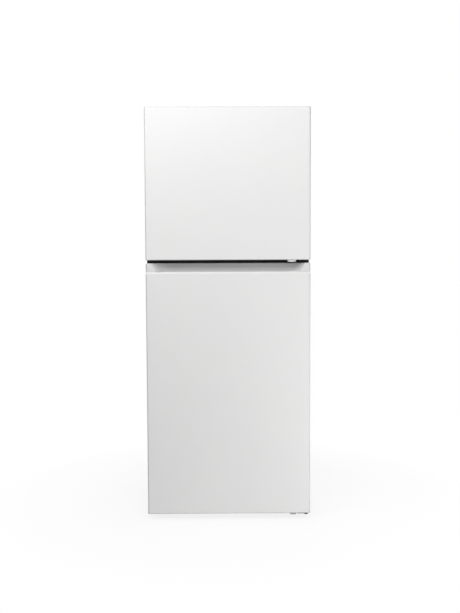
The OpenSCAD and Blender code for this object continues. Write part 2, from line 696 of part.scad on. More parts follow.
module top_hinge() color(zinc) {
  difference() {
    union() {
      slab([hinge_x - 52, hinge_x + 8], [cab_y0 + 6, cab_y0 + 64], [cab_z1, cab_z1 + hinge_plate_t]);
      slab([hinge_x - 11, hinge_x + 11], [hinge_y, cab_y0 + 7], [cab_z1, cab_z1 + hinge_plate_t]);
      rod_z(cab_z1, cab_z1 + hinge_plate_t, hinge_x, hinge_y, 11);
    }
    for (p = top_screws) rod_z(cab_z1 - 1, cab_z1 + 5, p[0], p[1], 2.5);
  }
  rod_z(cab_z1 - 26, cab_z1 + 1, hinge_x, hinge_y, pin_r);
  rod_z(cab_z1 + hinge_plate_t - lap, cab_z1 + hinge_plate_t + 4, hinge_x, hinge_y, 6);
}

top_screws = [[hinge_x - 40, cab_y0 + 20], [hinge_x - 40, cab_y0 + 50], [hinge_x - 6, cab_y0 + 50]];

module top_hinge_cover() color(white) difference() {
  along_z(cab_z1, cab_z1 + 19) round_rect([hinge_x - 62, hinge_x + 10], [cab_y0 + 2, cab_y0 + 74], 5);
  along_z(cab_z1 - 1, cab_z1 + 17) round_rect([hinge_x - 60, hinge_x + 8.5], [cab_y0 + 4, cab_y0 + 72], 3);
  slab([hinge_x - 11.5, hinge_x + 11], [cab_y0 - 1, cab_y0 + 8], [cab_z1 - 1, cab_z1 + hinge_plate_t + 1]);
}

mid_z = [gap_z - hinge_plate_t / 2, gap_z + hinge_plate_t / 2];
mid_screws = [hinge_x - 38, hinge_x - 20, hinge_x - 2];

module middle_hinge() color(dark) {
  face = cab_y0 - 1.2;
  slab([hinge_x - 28, hinge_x + 10], [hinge_y, face], mid_z);
  rod_z(mid_z[0], mid_z[1], hinge_x, hinge_y, 10);
  slab([hinge_x - 28, hinge_x], [hinge_y - 10, hinge_y], mid_z);
  difference() {
    slab([hinge_x - 46, hinge_x + 8], [face - 2, face], [gap_z - 12, gap_z + 12]);
    for (x = mid_screws) rod_y(face - 3, face + 1, x, gap_z + 6, 2.2);
  }
  rod_z(mid_z[0] - 28, mid_z[1] + 28, hinge_x, hinge_y, pin_r);
  rod_z(fridge_z[1] + 0.3, freezer_z[0] - 0.3, hinge_x, hinge_y, 7);
}

low_z = [floor_gap - 8, floor_gap - 8 + hinge_plate_t];
low_screws = [hinge_x - 24, hinge_x - 4];

module bottom_hinge() color(zinc) {
  slab([hinge_x - 33, hinge_x + 6], [hinge_y - 15, cab_y0], low_z);
  difference() {
    slab([hinge_x - 33, hinge_x + 6], [cab_y0 - 2.5, cab_y0], [low_z[0], shell_z0 + 6]);
    for (x = low_screws) rod_y(cab_y0 - 4, cab_y0 + 1, x, low_z[1] + 10, 2.2);
  }
  rod_z(low_z[0], floor_gap + 22, hinge_x, hinge_y, pin_r);
  rod_z(low_z[0], floor_gap - 0.3, hinge_x, hinge_y, 7);
  rod_z(low_z[0] - 5, low_z[0] + lap, hinge_x, hinge_y, 7.5, $fn = 6);
}

module cabinet_screws() color(zinc) {
  for (p = top_screws) {
    rod_z(cab_z1, cab_z1 + hinge_plate_t + lap, p[0], p[1], 2.4);
    rod_z(cab_z1 + hinge_plate_t, cab_z1 + hinge_plate_t + 4, p[0], p[1], 5, $fn = 6);
  }
  for (x = mid_screws) {
    rod_y(cab_y0 - 3.2 - lap, cab_y0 - 1.2, x, gap_z + 6, 2.1);
    rod_y(cab_y0 - 5.4, cab_y0 - 3.2, x, gap_z + 6, 4);
  }
  for (x = low_screws) {
    rod_y(cab_y0 - 2.5 - lap, cab_y0, x, low_z[1] + 10, 2.1);
    rod_y(cab_y0 - 4.8, cab_y0 - 2.5, x, low_z[1] + 10, 4);
  }
}

module roller_brackets() color(zinc) for (s = [-1, 1]) {
  slab([s * roller_x - roller_w / 2 - 4, s * roller_x + roller_w / 2 + 4], [roller_y - 16, roller_y + 16],
    [tray_z[0] - 2, tray_z[0]]);
  for (t = [-1, 1]) let (x = s * roller_x + t * (roller_w / 2 + 3))
    along_x(x - cheek_t / 2, x + cheek_t / 2) polygon(concat(
      [[roller_y + 16, tray_z[0] - 1], [roller_y - 16, tray_z[0] - 1]],
      arc([roller_y, roller_r], 8, 190, 350)));
  rod_x(s * roller_x - roller_w / 2 - 6, s * roller_x + roller_w / 2 + 6, roller_y, roller_r, axle_r);
}

module roller(s) difference() {
  translate([s * roller_x, roller_y, roller_r]) rotate([0, 90, 0]) rotate_extrude() polygon([
    [0, -roller_w / 2], [roller_r - 1.5, -roller_w / 2], [roller_r, 1.5 - roller_w / 2],
    [roller_r, roller_w / 2 - 1.5], [roller_r - 1.5, roller_w / 2], [0, roller_w / 2]]);
  rod_x(s * roller_x - roller_w, s * roller_x + roller_w, roller_y, roller_r, axle_r + run_gap);
}

module roller_left() color(dark) roller(-1);
module roller_right() color(dark) roller(1);

module foot(s) {
  translate([s * foot_x, foot_y, 0]) rotate_extrude() polygon([
    [0, 0], [foot_r - 1, 0], [foot_r, 1], [foot_r, 6], [foot_r - 5, 9], [0, 9]]);
  rod_z(9 - lap, 15, s * foot_x, foot_y, 9.5, $fn = 6);
  rod_z(15 - lap, base_z1 - 4, s * foot_x, foot_y, stem_r);
}

module foot_left() color(dark) foot(-1);
module foot_right() color(dark) foot(1);

spacer_x = side_x - 100;

module wall_spacers() color(black) for (s = [-1, 1])
  along_z(cab_z1 - 120, cab_z1 - 90) polygon([
    [s * spacer_x - 26, panel_y], [s * spacer_x - 20, cab_y1 + spacer_t],
    [s * spacer_x + 20, cab_y1 + spacer_t], [s * spacer_x + 26, panel_y]]);

gland_x = in_x - 59;

module cord_gland() color(black) difference() {
  union() {
    rod_y(panel_y, panel_y + 3, gland_x, machine_z1 + 30, 13);
    rod_y(panel_y + lap, panel_y + 10, gland_x, machine_z1 + 30, 9);
  }
  rod_y(panel_y + 2, panel_y + 11, gland_x, machine_z1 + 30, 4.5);
}

module freezer_door_skin() color(white) difference() {
  door_wrap(freezer_z, freezer_z, door_end_r, door_end_r, return_w);
  hinge_notch();
}

module freezer_door_foam() color(cream) {
  intersection() {
    door_form(freezer_z, freezer_z, door_end_r, door_end_r, sheet_t, skin_back_y);
    slab([-side_x, side_x], [front_y, skin_back_y], [freezer_z[0] + end_cap_h, freezer_z[1] - top_cap_h]);
  }
  dyke_ring(freezer_dyke_x, freezer_dyke_z, liner_t, skin_back_y - lap, door_back_y + dyke_d - liner_t);
}

module freezer_door_liner() color(liner_white) difference() {
  door_liner(freezer_z, freezer_z[1] - sheet_t, freezer_dyke_x, freezer_dyke_z, freezer_bins, freezer_bin_x);
  hinge_notch();
}

module freezer_door_top_cap() color(white) difference() {
  union() {
    intersection() {
      door_form(freezer_z, freezer_z, door_end_r, door_end_r, sheet_t, skin_back_y);
      slab([-side_x, side_x], [front_y, skin_back_y], [freezer_z[1] - top_cap_h, freezer_z[1]]);
    }
    slab([-turn_x, turn_x], [front_y + return_w, skin_back_y], [freezer_z[1] - sheet_t - lap, freezer_z[1]]);
  }
  hinge_notch();
  pin_bore(cab_z1 - 28, cab_z1);
}

groove_x = [-230, 195];
groove_r = 12;

module freezer_door_bottom_cap() color(white) difference() {
  low_cap(freezer_z, end_cap_h);
  pin_bore(freezer_z[0] - 1, freezer_z[0] + 25);
  rod_x(groove_x[0], groove_x[1], front_y + return_w + groove_r + 3, freezer_z[0] + 2, groove_r);
}

module freezer_door_gasket() color(zinc) door_gasket(freezer_gasket_z);
module freezer_door_bin_upper() color(clear) bin(freezer_bin_x, freezer_bins[1]);
module freezer_door_bin_lower() color(clear) bin(freezer_bin_x, freezer_bins[0]);

freezer_stop_x = [hinge_x - 71, hinge_x - 41];
fridge_stop_x = [hinge_x - 63, hinge_x - 38];
stop_y = [front_y + 5, front_y + return_w + 16];

// Stop block under a door with the head of its screw, its lower edge rounded at the ends.
module door_stop(x, z, h, end_r) {
  intersection() {
    along_z(z - h, z) round_rect(x, stop_y, 4);
    along_y(stop_y[0], stop_y[1]) round_rect(x, [z - h, z + h], end_r);
  }
  rod_z(z - h - 1.2, z - h + lap, (x[0] + x[1]) / 2, stop_y[0] + 14, 4);
}

module freezer_door_stop() color(white) door_stop(freezer_stop_x, freezer_z[0], 7, 2.5);

module fridge_door_skin() color(white)
  door_wrap(fridge_z, [fridge_z[0], lip_z], lip_r, door_end_r, lip_return);

module fridge_door_foam() color(cream) {
  intersection() {
    door_form(fridge_z, fridge_z, door_end_r, door_end_r, sheet_t, skin_back_y);
    slab([-side_x, side_x], [front_y, skin_back_y], [fridge_z[0] + end_cap_h, handle_cap_z0]);
  }
  difference() {
    dyke_ring(fridge_dyke_x, fridge_dyke_z, liner_t, skin_back_y - lap, door_back_y + dyke_d - liner_t);
    slab([-side_x, side_x], [front_y, skin_back_y], [handle_cap_z0, fridge_z[1]]);
  }
}

module fridge_door_liner() color(liner_white)
  door_liner(fridge_z, fridge_z[1], fridge_dyke_x, fridge_dyke_z, fridge_bins, fridge_bin_x);

// Pocket section at full depth, as depth behind the door face and height above the lip.
pocket_lip_d = 11;
pocket_mid_d = (pocket_lip_d + pocket_d) / 2;
pocket_curve = concat(
  [[-1, cap_rise + 1], [-1, 0], [pocket_lip_d - 2, 0], [pocket_lip_d, -1.5]],
  [for (a = [190:20:270]) [pocket_lip_d + 5 + 5 * cos(a), 5 - pocket_drop + 5 * sin(a)]],
  [for (i = [1:8]) let (t = i / 8) [
    mix(pocket_lip_d + 5, pocket_d, sin(t * 90)),
    mix(-pocket_drop, cap_rise - 4, 1 - cos(t * 90))]],
  [[pocket_d + 0.6, cap_rise - 1.6], [pocket_d + 2.4, cap_rise], [pocket_d + 2.4, cap_rise + 1]]);
pocket_steps = 10;

// Section at the share t of the way along a curved end, s = -1 or 1 for the left or right end.
function pocket_loop(s, t) = let (f = 0.015 + 0.985 * smooth(sqrt(t)))
  [for (p = pocket_curve) let (
      half = mix(pocket_lip_x, pocket_top_x, smooth(p[1] / cap_rise)),
      y = p[0] < cap_setback ? p[0] : mix(cap_setback, p[0], f),
      z = p[1] < 0 ? p[1] * f : p[1])
    [s * (half - t * pocket_end), front_y + y, lip_z + z]];

module pocket() {
  n = len(pocket_curve);
  loops = concat([for (i = [0:pocket_steps]) pocket_loop(-1, pow(i / pocket_steps, 2))],
    [for (i = [pocket_steps:-1:0]) pocket_loop(1, pow(i / pocket_steps, 2))]);
  k = len(loops);
  polyhedron([for (l = loops) each l], concat(
    [[for (j = [0:n - 1]) j]],
    [[for (j = [n - 1:-1:0]) (k - 1) * n + j]],
    [for (i = [0:k - 2], j = [0:n - 1]) let (q = (j + 1) % n) each [
      [i * n + j, (i + 1) * n + j, (i + 1) * n + q], [i * n + j, (i + 1) * n + q, i * n + q]]]));
}

module fridge_door_handle_cap() color(white) difference() {
  union() {
    intersection() {
      door_form(fridge_z, [fridge_z[0], lip_z], lip_r, door_end_r, sheet_t, skin_back_y);
      slab([-side_x, side_x], [front_y, skin_back_y], [handle_cap_z0, lip_z]);
    }
    slab([-turn_x, turn_x], [front_y + lip_return, skin_back_y], [lip_z - sheet_t - lap, lip_z + lap]);
    intersection() {
      along_y(front_y, skin_back_y) round_rect([-side_x, side_x], fridge_z, door_corner_r);
      along_z(lip_z, fridge_z[1]) polygon(concat(
        [[-side_x, skin_back_y]],
        arc([door_edge_r - side_x, front_y + cap_setback + door_edge_r], door_edge_r, 180, 270),
        arc([side_x - door_edge_r, front_y + cap_setback + door_edge_r], door_edge_r, 270, 360),
        [[side_x, skin_back_y]]));
      along_x(-side_x, side_x) polygon(concat(
        [[skin_back_y, lip_z]], [[front_y + cap_setback, lip_z]],
        arc([front_y + cap_setback + door_end_r, fridge_z[1] - door_end_r], door_end_r, 180, 90),
        [[skin_back_y, fridge_z[1]]]));
    }
  }
  pocket();
  pin_bore(fridge_z[1] - 26, fridge_z[1] + 1);
}

module fridge_door_bottom_cap() color(white) difference() {
  low_cap(fridge_z, end_cap_h);
  pin_bore(fridge_z[0] - 1, fridge_z[0] + 24);
}

module fridge_door_gasket() color(zinc) door_gasket(fridge_gasket_z);
module fridge_door_bin_upper() color(clear) bin(fridge_bin_x, fridge_bins[2]);
module fridge_door_bin_middle() color(clear) bin(fridge_bin_x, fridge_bins[1]);
module fridge_door_bin_lower() color(clear) bin(fridge_bin_x, fridge_bins[0]);
module fridge_door_stop() color(white) door_stop(fridge_stop_x, fridge_z[0], 6.5, 5);

// Drawer with a thick front, a turned rim and a pull with a finger lip.
module crisper(s) {
  x = side(s, crisper_x[0], crisper_x[1]);
  face_y = crisper_y[0] - 5;
  top = crisper_z[1];
  difference() {
    union() {
      along_z(crisper_z[0], top - 4) round_rect([x[0] + 2, x[1] - 2], crisper_y, crisper_r);
      along_z(top - 12, top - 4) round_rect(x, crisper_y, crisper_r + 2);
      along_y(face_y, crisper_y[0] + 3) round_rect(x, crisper_z, 5);
    }
    along_z(crisper_z[0] + bin_wall, top + 1)
      round_rect([x[0] + 2 + bin_wall, x[1] - 2 - bin_wall], [crisper_y[0] + 3, crisper_y[1] - bin_wall],
        crisper_r - bin_wall);
  }
  along_x(x[0] + 40, x[1] - 40) polygon([
    [face_y + lap, top - 21], [face_y - 6, top - 21], [face_y - 8, top - 23], [face_y - 8, top - 35],
    [face_y - 6.5, top - 36], [face_y - 5, top - 35], [face_y - 5, top - 26], [face_y + lap, top - 26]]);
}

module crisper_left() color(clear) crisper(-1);
module crisper_right() color(clear) crisper(1);

cabinet_shell();
back_panel();
cabinet_foam();
freezer_liner();
fridge_liner();
mullion_rail();
base_frame();
compressor_tray();
compressor();
compressor_grommets();
condenser_coil();
refrigerant_lines();
drain_pan();
evaporator();
evaporator_cover();
fan_motor();
air_duct();
control_box();
lamp_lens();
glass_shelf_upper();
glass_shelf_lower();
crisper_glass();
shelf_trims();
freezer_shelf();
top_hinge();
top_hinge_cover();
middle_hinge();
bottom_hinge();
cabinet_screws();
roller_brackets();
wall_spacers();
cord_gland();
freezer_door_skin();
freezer_door_foam();
freezer_door_liner();
freezer_door_top_cap();
freezer_door_bottom_cap();
freezer_door_gasket();
freezer_door_bin_upper();
freezer_door_bin_lower();
freezer_door_stop();
fridge_door_skin();
fridge_door_foam();
fridge_door_liner();
fridge_door_handle_cap();
fridge_door_bottom_cap();
fridge_door_gasket();
fridge_door_bin_upper();
fridge_door_bin_middle();
fridge_door_bin_lower();
fridge_door_stop();
crisper_left();
crisper_right();
fan_blades();
thermostat_knob();
door_switch();
foot_left();
foot_right();
roller_left();
roller_right();
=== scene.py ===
import json
import math

import bmesh
import bpy
from mathutils import Matrix, Vector


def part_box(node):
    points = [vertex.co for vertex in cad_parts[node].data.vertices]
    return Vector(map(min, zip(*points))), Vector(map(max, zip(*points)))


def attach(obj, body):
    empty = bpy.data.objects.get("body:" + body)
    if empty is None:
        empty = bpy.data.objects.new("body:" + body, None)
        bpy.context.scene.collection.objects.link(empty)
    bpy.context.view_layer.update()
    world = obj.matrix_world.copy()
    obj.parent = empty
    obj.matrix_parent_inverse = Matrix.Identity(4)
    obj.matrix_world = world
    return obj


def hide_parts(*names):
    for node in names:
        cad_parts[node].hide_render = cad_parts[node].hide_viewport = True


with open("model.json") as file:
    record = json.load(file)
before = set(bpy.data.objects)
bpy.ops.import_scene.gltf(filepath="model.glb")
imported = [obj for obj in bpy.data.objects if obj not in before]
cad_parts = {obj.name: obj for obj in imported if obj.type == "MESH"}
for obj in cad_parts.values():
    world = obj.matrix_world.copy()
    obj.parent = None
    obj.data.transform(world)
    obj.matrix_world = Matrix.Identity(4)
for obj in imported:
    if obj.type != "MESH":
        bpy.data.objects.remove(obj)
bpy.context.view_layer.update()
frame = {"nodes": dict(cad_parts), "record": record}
scene = bpy.context.scene
bpy.ops.object.select_all(action="DESELECT")


# camera: metres right of the middle, out from the door face and above the floor, then degrees
# to the right, down and over, then millimetres of lens and sensor
cameraSet = {"right": -0.0206, "distance": 2.9074, "height": 0.9782,
             "yaw": 0.528, "down": 3.676, "roll": -0.248,
             "lens": 46.98, "sensor": 36.0, "farEnd": 50}


def placeCamera(doorFace):
    data = bpy.data.cameras.new("studioCamera")
    data.sensor_fit = "AUTO"
    data.sensor_width = cameraSet["sensor"]
    data.lens = cameraSet["lens"]
    data.clip_end = cameraSet["farEnd"]
    camera = bpy.data.objects.new("studioCamera", data)
    scene.collection.objects.link(camera)
    yaw, down, roll = (math.radians(cameraSet[k]) for k in ("yaw", "down", "roll"))
    ahead = Vector((math.sin(yaw) * math.cos(down), math.cos(yaw) * math.cos(down),
                    -math.sin(down)))
    side = Vector((math.cos(yaw), -math.sin(yaw), 0))
    up = side.cross(ahead)
    right = side * math.cos(roll) + up * math.sin(roll)
    top = up * math.cos(roll) - side * math.sin(roll)
    turn = Matrix((right, top, -ahead)).transposed().to_4x4()
    place = Vector((cameraSet["right"], doorFace - cameraSet["distance"], cameraSet["height"]))
    camera.matrix_world = Matrix.Translation(place) @ turn
    scene.camera = camera


placeCamera(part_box("fridge_door_skin")[0].y)
print("camera placed")


# lamps: place, aim and size in metres, power in watts
lampSet = {
    "keyLamp": {"place": (-0.45, -1.5, 2.4), "aim": (0, -0.33, 1.2),
                "size": (2.4, 1.2), "power": 32},
    "leftLamp": {"place": (-1.4, -1.0, 2.4), "aim": (-0.1, -0.33, 1.3),
                 "size": (1.0, 1.4), "power": 6.5},
    "lowLamp": {"place": (1.4, -1.0, 0.25), "aim": (0.2, -0.33, 0.35),
                "size": (0.95, 1.0), "power": 13.5},
    "backLamp": {"place": (0.5, 2.4, 1.9), "aim": (0, 0.3, 0.8),
                 "size": (2.2, 1.4), "power": 28},
}


def placeLamps():
    for name, lamp in lampSet.items():
        data = bpy.data.lights.new(name, "AREA")
        data.shape = "RECTANGLE"
        data.size, data.size_y = lamp["size"]
        data.energy = lamp["power"]
        light = bpy.data.objects.new(name, data)
        scene.collection.objects.link(light)
        light.visible_camera = False
        light.location = lamp["place"]
        ray = Vector(lamp["aim"]) - Vector(lamp["place"])
        light.rotation_euler = ray.to_track_quat("-Z", "Y").to_euler()


placeLamps()


# one Math node on one or two values
def combined(tree, how, *values):
    node = tree.nodes.new("ShaderNodeMath")
    node.operation = how
    for value, socket in zip(values, node.inputs):
        tree.links.new(value, socket)
    return node.outputs[0]


# 1 on what the camera, gloss and glass see, and 0 on what only gives light
def whenSeen(tree):
    path = tree.nodes.new("ShaderNodeLightPath")
    total = path.outputs["Is Camera Ray"]
    for ray in ("Is Glossy Ray", "Is Transmission Ray"):
        total = combined(tree, "MAXIMUM", total, path.outputs[ray])
    return total


# the sky's strength as a soft light, and as the white that is seen
skySet = {"light": 0.24, "seen": 1.0}


def whiteSky():
    world = bpy.data.worlds.new("studioSky")
    scene.world = world
    world.use_nodes = True
    nodes, links = world.node_tree.nodes, world.node_tree.links
    nodes.clear()
    out = nodes.new("ShaderNodeOutputWorld")
    mix = nodes.new("ShaderNodeMixShader")
    links.new(whenSeen(world.node_tree), mix.inputs["Fac"])
    for count, key in enumerate(("light", "seen"), 1):
        background = nodes.new("ShaderNodeBackground")
        background.inputs["Color"].default_value = (1, 1, 1, 1)
        background.inputs["Strength"].default_value = skySet[key]
        links.new(background.outputs[0], mix.inputs[count])
    links.new(mix.outputs[0], out.inputs["Surface"])


whiteSky()
scene.view_settings.view_transform = "Standard"
print("lamps and sky placed")


# small helpers for the finishes: sizes are metres, patterns run on Object coordinates
noiseSpan = (0.3, 0.7)  # most of a noise pattern lies between these values


def startFinish(name, sockets):
    material = bpy.data.materials.new(name)
    material.use_nodes = True
    shader = material.node_tree.nodes["Principled BSDF"]
    for socket, value in sockets.items():
        shader.inputs[socket].default_value = value
    return material, material.node_tree, shader


def where(tree):
    return tree.nodes.new("ShaderNodeTexCoord").outputs["Object"]


def splitUp(tree, vector):
    split = tree.nodes.new("ShaderNodeSeparateXYZ")
    tree.links.new(vector, split.inputs["Vector"])
    return split.outputs


def cloud(tree, size, detail=2.0):
    texture = tree.nodes.new("ShaderNodeTexNoise")
    texture.inputs["Scale"].default_value = 1 / size
    texture.inputs["Detail"].default_value = detail
    tree.links.new(where(tree), texture.inputs["Vector"])
    return texture.outputs["Fac"]


def cells(tree, size, output):
    texture = tree.nodes.new("ShaderNodeTexVoronoi")
    texture.inputs["Scale"].default_value = 1 / size
    tree.links.new(where(tree), texture.inputs["Vector"])
    return texture.outputs[output]


# turns a value that runs over the span into one that runs from low to high
def between(tree, factor, low, high, span=noiseSpan):
    spread = tree.nodes.new("ShaderNodeMapRange")
    for socket, value in zip(("From Min", "From Max", "To Min", "To Max"), (*span, low, high)):
        spread.inputs[socket].default_value = value
    tree.links.new(factor, spread.inputs["Value"])
    return spread.outputs["Result"]


# mixes two colours, each three plain numbers or another node's output
def mixed(tree, factor, first, second, how="MIX"):
    mix = tree.nodes.new("ShaderNodeMix")
    mix.data_type = "RGBA"
    mix.blend_type = how
    tree.links.new(factor, mix.inputs["Factor"])
    for socket, colour in (("A", first), ("B", second)):
        if isinstance(colour, tuple):
            mix.inputs[socket].default_value = (*colour, 1)
        else:
            tree.links.new(colour, mix.inputs[socket])
    return mix.outputs["Result"]


def tinted(tree, factor, first, second, span=noiseSpan):
    return mixed(tree, between(tree, factor, 0, 1, span), first, second)


def raised(tree, height, depth, under=None):
    bump = tree.nodes.new("ShaderNodeBump")
    bump.inputs["Distance"].default_value = depth
    bump.inputs["Strength"].default_value = 1.0
    tree.links.new(height, bump.inputs["Height"])
    if under is not None:
        tree.links.new(under, bump.inputs["Normal"])
    return bump.outputs["Normal"]


# how finely the noise of each use is broken up
detailSet = {"colour": 3, "gloss": 3, "bump": 1}

# one row per plain finish: two close colours and the size of their drift, gloss from and to
# and the size of its wear, then rows of bump as pattern size and depth
finishSet = {
    "doorPaint": {
        "colours": ((0.800, 0.800, 0.796), (0.788, 0.789, 0.787)), "drift": 0.22,
        "gloss": (0.33, 0.37), "wear": 0.03, "bumps": ((0.0034, 0.00003),),
        "sockets": {"Specular IOR Level": 0.3}},
    "cabinetPaint": {
        "colours": ((0.79, 0.79, 0.785), (0.775, 0.777, 0.774)), "drift": 0.3,
        "gloss": (0.36, 0.46), "wear": 0.04, "bumps": ((0.0026, 0.00013), (0.0008, 0.00003)),
        "sockets": {"Coat Weight": 0.1, "Coat Roughness": 0.25}},
    "capPlastic": {
        "colours": ((0.745, 0.747, 0.745), (0.735, 0.738, 0.737)), "drift": 0.12,
        "gloss": (0.34, 0.42), "wear": 0.02, "bumps": ((0.0009, 0.000025), (0.05, 0.0001)),
        "sockets": {}},
    "linerPlastic": {
        "colours": ((0.845, 0.848, 0.845), (0.825, 0.83, 0.83)), "drift": 0.18,
        "gloss": (0.3, 0.36), "wear": 0.05, "bumps": ((0.09, 0.00005), (0.0012, 0.00001)),
        "sockets": {"Coat Weight": 0.15, "Coat Roughness": 0.2}},
    "foamSkin": {
        "colours": ((0.80, 0.71, 0.47), (0.70, 0.60, 0.36)), "drift": 0.02,
        "gloss": (0.8, 0.95), "wear": 0.01, "bumps": ((0.0014, 0.0005), (0.02, 0.001)),
        "sockets": {}},
    "railBlack": {
        "colours": ((0.009, 0.009, 0.010), (0.014, 0.014, 0.015)), "drift": 0.05,
        "gloss": (0.5, 0.62), "wear": 0.01, "bumps": ((0.0015, 0.00003),),
        "sockets": {"Specular IOR Level": 0.3}},
    "mouldedBlack": {
        "colours": ((0.028, 0.028, 0.029), (0.040, 0.040, 0.041)), "drift": 0.015,
        "gloss": (0.5, 0.66), "wear": 0.006, "bumps": ((0.0007, 0.00005),),
        "sockets": {}},
    "shellBlack": {
        "colours": ((0.014, 0.014, 0.015), (0.024, 0.023, 0.022)), "drift": 0.03,
        "gloss": (0.28, 0.42), "wear": 0.012, "bumps": ((0.003, 0.00005),),
        "sockets": {"Coat Weight": 0.5, "Coat Roughness": 0.15}},
    "rubberBlack": {
        "colours": ((0.022, 0.022, 0.023), (0.035, 0.034, 0.033)), "drift": 0.006,
        "gloss": (0.7, 0.85), "wear": 0.004, "bumps": ((0.0006, 0.00008),),
        "sockets": {}},
    "gasketVinyl": {
        "colours": ((0.77, 0.77, 0.755), (0.735, 0.735, 0.72)), "drift": 0.04,
        "gloss": (0.45, 0.58), "wear": 0.01, "bumps": ((0.0011, 0.00003), (0.02, 0.00025)),
        "sockets": {"Sheen Weight": 0.08}},
    "wireCoat": {
        "colours": ((0.83, 0.83, 0.825), (0.80, 0.80, 0.795)), "drift": 0.03,
        "gloss": (0.28, 0.4), "wear": 0.005, "bumps": ((0.006, 0.0002),),
        "sockets": {"Coat Weight": 0.4, "Coat Roughness": 0.1}},
    # painted shade: the lower door's stop is a darker grey than the cap plastic, for its place in
    # shade under the door
    "stopPaintedShade": {
        "colours": ((0.47, 0.473, 0.473), (0.45, 0.453, 0.455)), "drift": 0.02,
        "gloss": (0.4, 0.5), "wear": 0.004, "bumps": ((0.0007, 0.00003),),
        "sockets": {"Specular IOR Level": 0.3}},
    "knobGrey": {
        "colours": ((0.52, 0.53, 0.54), (0.48, 0.49, 0.50)), "drift": 0.008,
        "gloss": (0.36, 0.48), "wear": 0.004, "bumps": ((0.0005, 0.00003),),
        "sockets": {}},
    "dialPrint": {
        "colours": ((0.20, 0.21, 0.22), (0.25, 0.26, 0.27)), "drift": 0.003,
        "gloss": (0.45, 0.55), "wear": 0.002, "bumps": ((0.0004, 0.00001),),
        "sockets": {}},
    "platedSteel": {
        "colours": ((0.66, 0.66, 0.65), (0.54, 0.54, 0.53)), "drift": 0.004,
        "gloss": (0.29, 0.42), "wear": 0.002, "bumps": ((0.0008, 0.00001),),
        "sockets": {"Metallic": 1.0}},
    "brazeBronze": {
        "colours": ((0.66, 0.47, 0.28), (0.45, 0.30, 0.19)), "drift": 0.003,
        "gloss": (0.36, 0.55), "wear": 0.002, "bumps": ((0.0012, 0.00006),),
        "sockets": {"Metallic": 1.0}},
    "copperTube": {
        "colours": ((0.76, 0.40, 0.25), (0.48, 0.26, 0.18)), "drift": 0.02,
        "gloss": (0.28, 0.48), "wear": 0.008, "bumps": ((0.003, 0.00005),),
        "sockets": {"Metallic": 1.0}},
    "finAluminium": {
        "colours": ((0.80, 0.81, 0.82), (0.70, 0.71, 0.72)), "drift": 0.01,
        "gloss": (0.3, 0.45), "wear": 0.006, "bumps": ((0.002, 0.00005),),
        "sockets": {"Metallic": 1.0}},
}


def plainFinish(name):
    values = finishSet[name]
    material, tree, shader = startFinish(name, values["sockets"])
    drift = cloud(tree, values["drift"], detailSet["colour"])
    wear = cloud(tree, values["wear"], detailSet["gloss"])
    tree.links.new(tinted(tree, drift, *values["colours"]), shader.inputs["Base Color"])
    tree.links.new(between(tree, wear, *values["gloss"]), shader.inputs["Roughness"])
    normal = None
    for size, depth in values["bumps"]:
        normal = raised(tree, cloud(tree, size, detailSet["bump"]), depth, normal)
    tree.links.new(normal, shader.inputs["Normal"])
    return material


# scales a finish's own colour: 1 where the mask is 0, down to the given share where it is 1
def shaded(material, mask, share):
    tree = material.node_tree
    socket = tree.nodes["Principled BSDF"].inputs["Base Color"]
    colour = mixed(tree, mask, socket.links[0].from_socket, (share, share, share), "MULTIPLY")
    tree.links.new(colour, socket)


# painted shade: the colour is darkened where a sheet or a cap is rounded off from its face, so its
# edges look a little grey as if turned from the light; a band keeps that to part of the piece,
# from and to in metres from one of its edges
edgeShadeSet = {"share": 0.73, "faceEnds": (0.99, 0.93), "sideEnds": (0.05, 0.3),
           "allOver": (0, 0.001), "belowTop": (-0.006, -0.01), "nearFoot": (0.008, 0.006),
           "capEnds": (-0.007, -0.005)}


def foldedEdges(material, axis, edge, band):
    tree = material.node_tree
    normal = tree.nodes.new("ShaderNodeTexCoord").outputs["Normal"]
    facing = combined(tree, "ABSOLUTE", splitUp(tree, normal)["Y"])
    offFace = between(tree, facing, 0, 1, edgeShadeSet["faceEnds"])
    offSide = between(tree, facing, 0, 1, edgeShadeSet["sideEnds"])
    along = combined(tree, "ABSOLUTE", splitUp(tree, where(tree))[axis])
    inBand = between(tree, along, 0, 1, [edge + step for step in edgeShadeSet[band]])
    mask = combined(tree, "MULTIPLY", combined(tree, "MULTIPLY", offFace, offSide), inBand)
    shaded(material, mask, edgeShadeSet["share"])


# painted shade: the scoop of the handle cap is darkened more the deeper it lies behind its rim,
# for the shade of the recess under the freezer door
scoopShadeSet = {"share": 0.86, "depth": 0.014}


def deepScoop(material, face):
    tree = material.node_tree
    span = (face, face + scoopShadeSet["depth"])
    shaded(material, between(tree, splitUp(tree, where(tree))["Y"], 0, 1, span), scoopShadeSet["share"])


def variantOf(name, newName):
    finishes[newName] = plainFinish(name)
    finishes[newName].name = newName
    return finishes[newName]


# hot-dip zinc: flat crystals that each catch the light a little differently
zincSet = {"spangle": 0.0065, "dull": (0.56, 0.57, 0.58), "bright": (0.65, 0.66, 0.67),
           "gloss": (0.38, 0.45), "bump": (0.002, 0.00002)}


def zincFinish():
    material, tree, shader = startFinish("zincSheet", {"Metallic": 1.0})
    crystal = tree.nodes.new("ShaderNodeSeparateColor")
    tree.links.new(cells(tree, zincSet["spangle"], "Color"), crystal.inputs["Color"])
    colour = tinted(tree, crystal.outputs["Red"], zincSet["dull"], zincSet["bright"], (0, 1))
    gloss = between(tree, crystal.outputs["Green"], *zincSet["gloss"], (0, 1))
    size, depth = zincSet["bump"]
    tree.links.new(colour, shader.inputs["Base Color"])
    tree.links.new(gloss, shader.inputs["Roughness"])
    tree.links.new(raised(tree, cloud(tree, size), depth), shader.inputs["Normal"])
    return material
